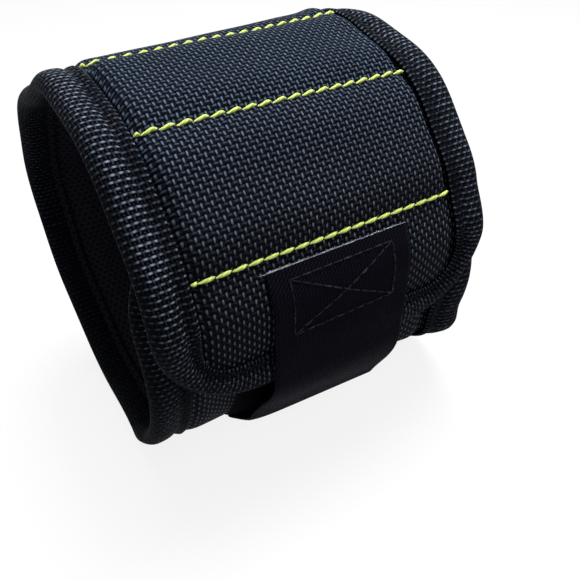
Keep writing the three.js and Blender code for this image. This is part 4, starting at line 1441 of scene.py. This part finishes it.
class WRISTBAND_OT_stage(bpy.types.Operator):
    """Makes the camera, the pale floor, the lamps and the surrounding light"""

    bl_idname = "wristband.stage"
    bl_label = "Stage"

    def execute(self, context):
        stage = context.scene.wristband_stage
        context.scene.view_settings.view_transform = "Standard"
        self.make_camera(context, stage)
        self.make_floor(context, stage)
        self.make_surround(context, stage)
        middle = (0, 0, CAD_BOX[1][2] / 2)
        add_lamp("top_lamp", stage.top_place, middle, stage.top_size, stage.top_power)
        add_lamp("front_lamp", stage.front_place, middle, stage.front_size, stage.front_power)
        return {"FINISHED"}

    def make_camera(self, context, stage):
        """Camera at its place, looking at the aim, turned by the roll."""
        camera = bpy.data.cameras.new("photo_camera")
        camera.lens = stage.camera_lens
        camera.sensor_width = stage.sensor
        camera.clip_start = stage.camera_near
        holder = bpy.data.objects.new("photo_camera", camera)
        turn = view_turn(stage.camera_place, stage.camera_aim).to_matrix()
        roll = Matrix.Rotation(stage.camera_roll, 3, "Z")
        holder.matrix_world = Matrix.Translation(stage.camera_place) @ (turn @ roll).to_4x4()
        context.scene.collection.objects.link(holder)
        context.scene.camera = holder

    def make_floor(self, context, stage):
        """A wide floor that cameras and reflections see as near white, with the object's soft shadow kept. It
        has a low rise under the band's resting face, an eased step in both directions, so that the band's
        swollen parts are clear of it when the band is laid flat."""
        front = JOINTS["front_fold_crease"]["pos_m"][1]
        back = JOINTS["band_unwrap"]["pos_m"][1]
        fine = np.linspace(-1, 1, FLOOR_SAMPLES) * stage.floor_middle
        line = np.concatenate([[-stage.floor_half], fine, [stage.floor_half]])
        x, y = np.meshgrid(line, line)
        beside = np.abs(x) - CAD_BOX[1][0]
        beyond = np.abs(y - (front + back) / 2) - (back - front) / 2
        under = smooth_step(1 - beside / stage.rise_reach) * smooth_step(1 - beyond / stage.rise_reach)
        points = np.stack([x, y, stage.floor_rise * (under - 1)], -1).reshape(-1, 3)
        step = np.arange(len(line) - 1)
        corner = (step[:, None] * len(line) + step).reshape(-1, 1)
        mesh = bpy.data.meshes.new("studio_floor")
        mesh.from_pydata(points.tolist(), [], (corner + [0, 1, len(line) + 1, len(line)]).tolist())
        mesh.shade_smooth()
        mesh.materials.append(self.floor_finish(context.scene.wristband_colours, stage.floor_glow))
        floor = bpy.data.objects.new("studio_floor", mesh)
        context.scene.collection.objects.link(floor)

    def floor_finish(self, colours, glow):
        """Matte floor, grey for the light it gives back, and near white with a share of glow where seen."""
        finish = Finish("studio_floor", Roughness=0.9)
        seen = finish.seen()
        colour = finish.mix(seen, colours.floor, colours.floor_seen)
        finish.paint(colour, 0.85 + 0.1 * finish.noise(None, scale=6.0))
        white = finish.add("ShaderNodeEmission", None, {"Color": (*WHITE, 1), "Strength": 1.0})
        sockets = {0: seen * glow, 1: finish.shader.outputs[0], 2: white.outputs[0]}
        both = finish.add("ShaderNodeMixShader", None, sockets)
        finish.feed(finish.nodes["Material Output"].inputs["Surface"], both.outputs[0])
        return finish.material

    def make_surround(self, context, stage):
        """A soft grey surround that cameras and reflections see as white."""
        world = bpy.data.worlds.new("studio")
        context.scene.world = world
        world.use_nodes = True
        studio = Painter(world.node_tree)
        background = studio.nodes["Background"]
        grey = (stage.surround, stage.surround, stage.surround)
        studio.feed(background.inputs["Color"], studio.mix(studio.seen(), grey, WHITE))
        studio.feed(background.inputs["Strength"], 1.0)


STEPS = (
    WRISTBAND_OT_stage,
    WRISTBAND_OT_lining,
    WRISTBAND_OT_outer_cloth,
    WRISTBAND_OT_edge_tape,
    WRISTBAND_OT_seam_thread,
    WRISTBAND_OT_loop_panel,
    WRISTBAND_OT_strap,
    WRISTBAND_OT_box_stitching,
    WRISTBAND_OT_magnets,
)
GROUPS = {
    "wristband_sizes": WristbandSizes,
    "wristband_colours": WristbandColours,
    "wristband_stage": WristbandStage,
}


class WRISTBAND_PT_panel(bpy.types.Panel):
    """Lists the wristband's sizes, colours and steps"""

    bl_idname = "WRISTBAND_PT_panel"
    bl_label = "Wristband"
    bl_space_type = "VIEW_3D"
    bl_region_type = "UI"
    bl_category = "Wristband"

    def draw(self, context):
        for name, kind in GROUPS.items():
            column = self.layout.column()
            for value in kind.__annotations__:
                column.prop(getattr(context.scene, name), value)
        for step in STEPS:
            self.layout.operator(step.bl_idname)


CLASSES = (*GROUPS.values(), *STEPS, WRISTBAND_PT_panel)


def register():
    """Registers the classes and gives every scene its values."""
    for item in CLASSES:
        bpy.utils.register_class(item)
    for name, kind in GROUPS.items():
        setattr(bpy.types.Scene, name, bpy.props.PointerProperty(type=kind))


def unregister():
    """Takes back what register did."""
    for name in GROUPS:
        delattr(bpy.types.Scene, name)
    for item in reversed(CLASSES):
        bpy.utils.unregister_class(item)


def main():
    """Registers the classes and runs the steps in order."""
    register()
    for step in STEPS:
        group, name = step.bl_idname.split(".")
        getattr(getattr(bpy.ops, group), name)()


if __name__ == "__main__":
    main()
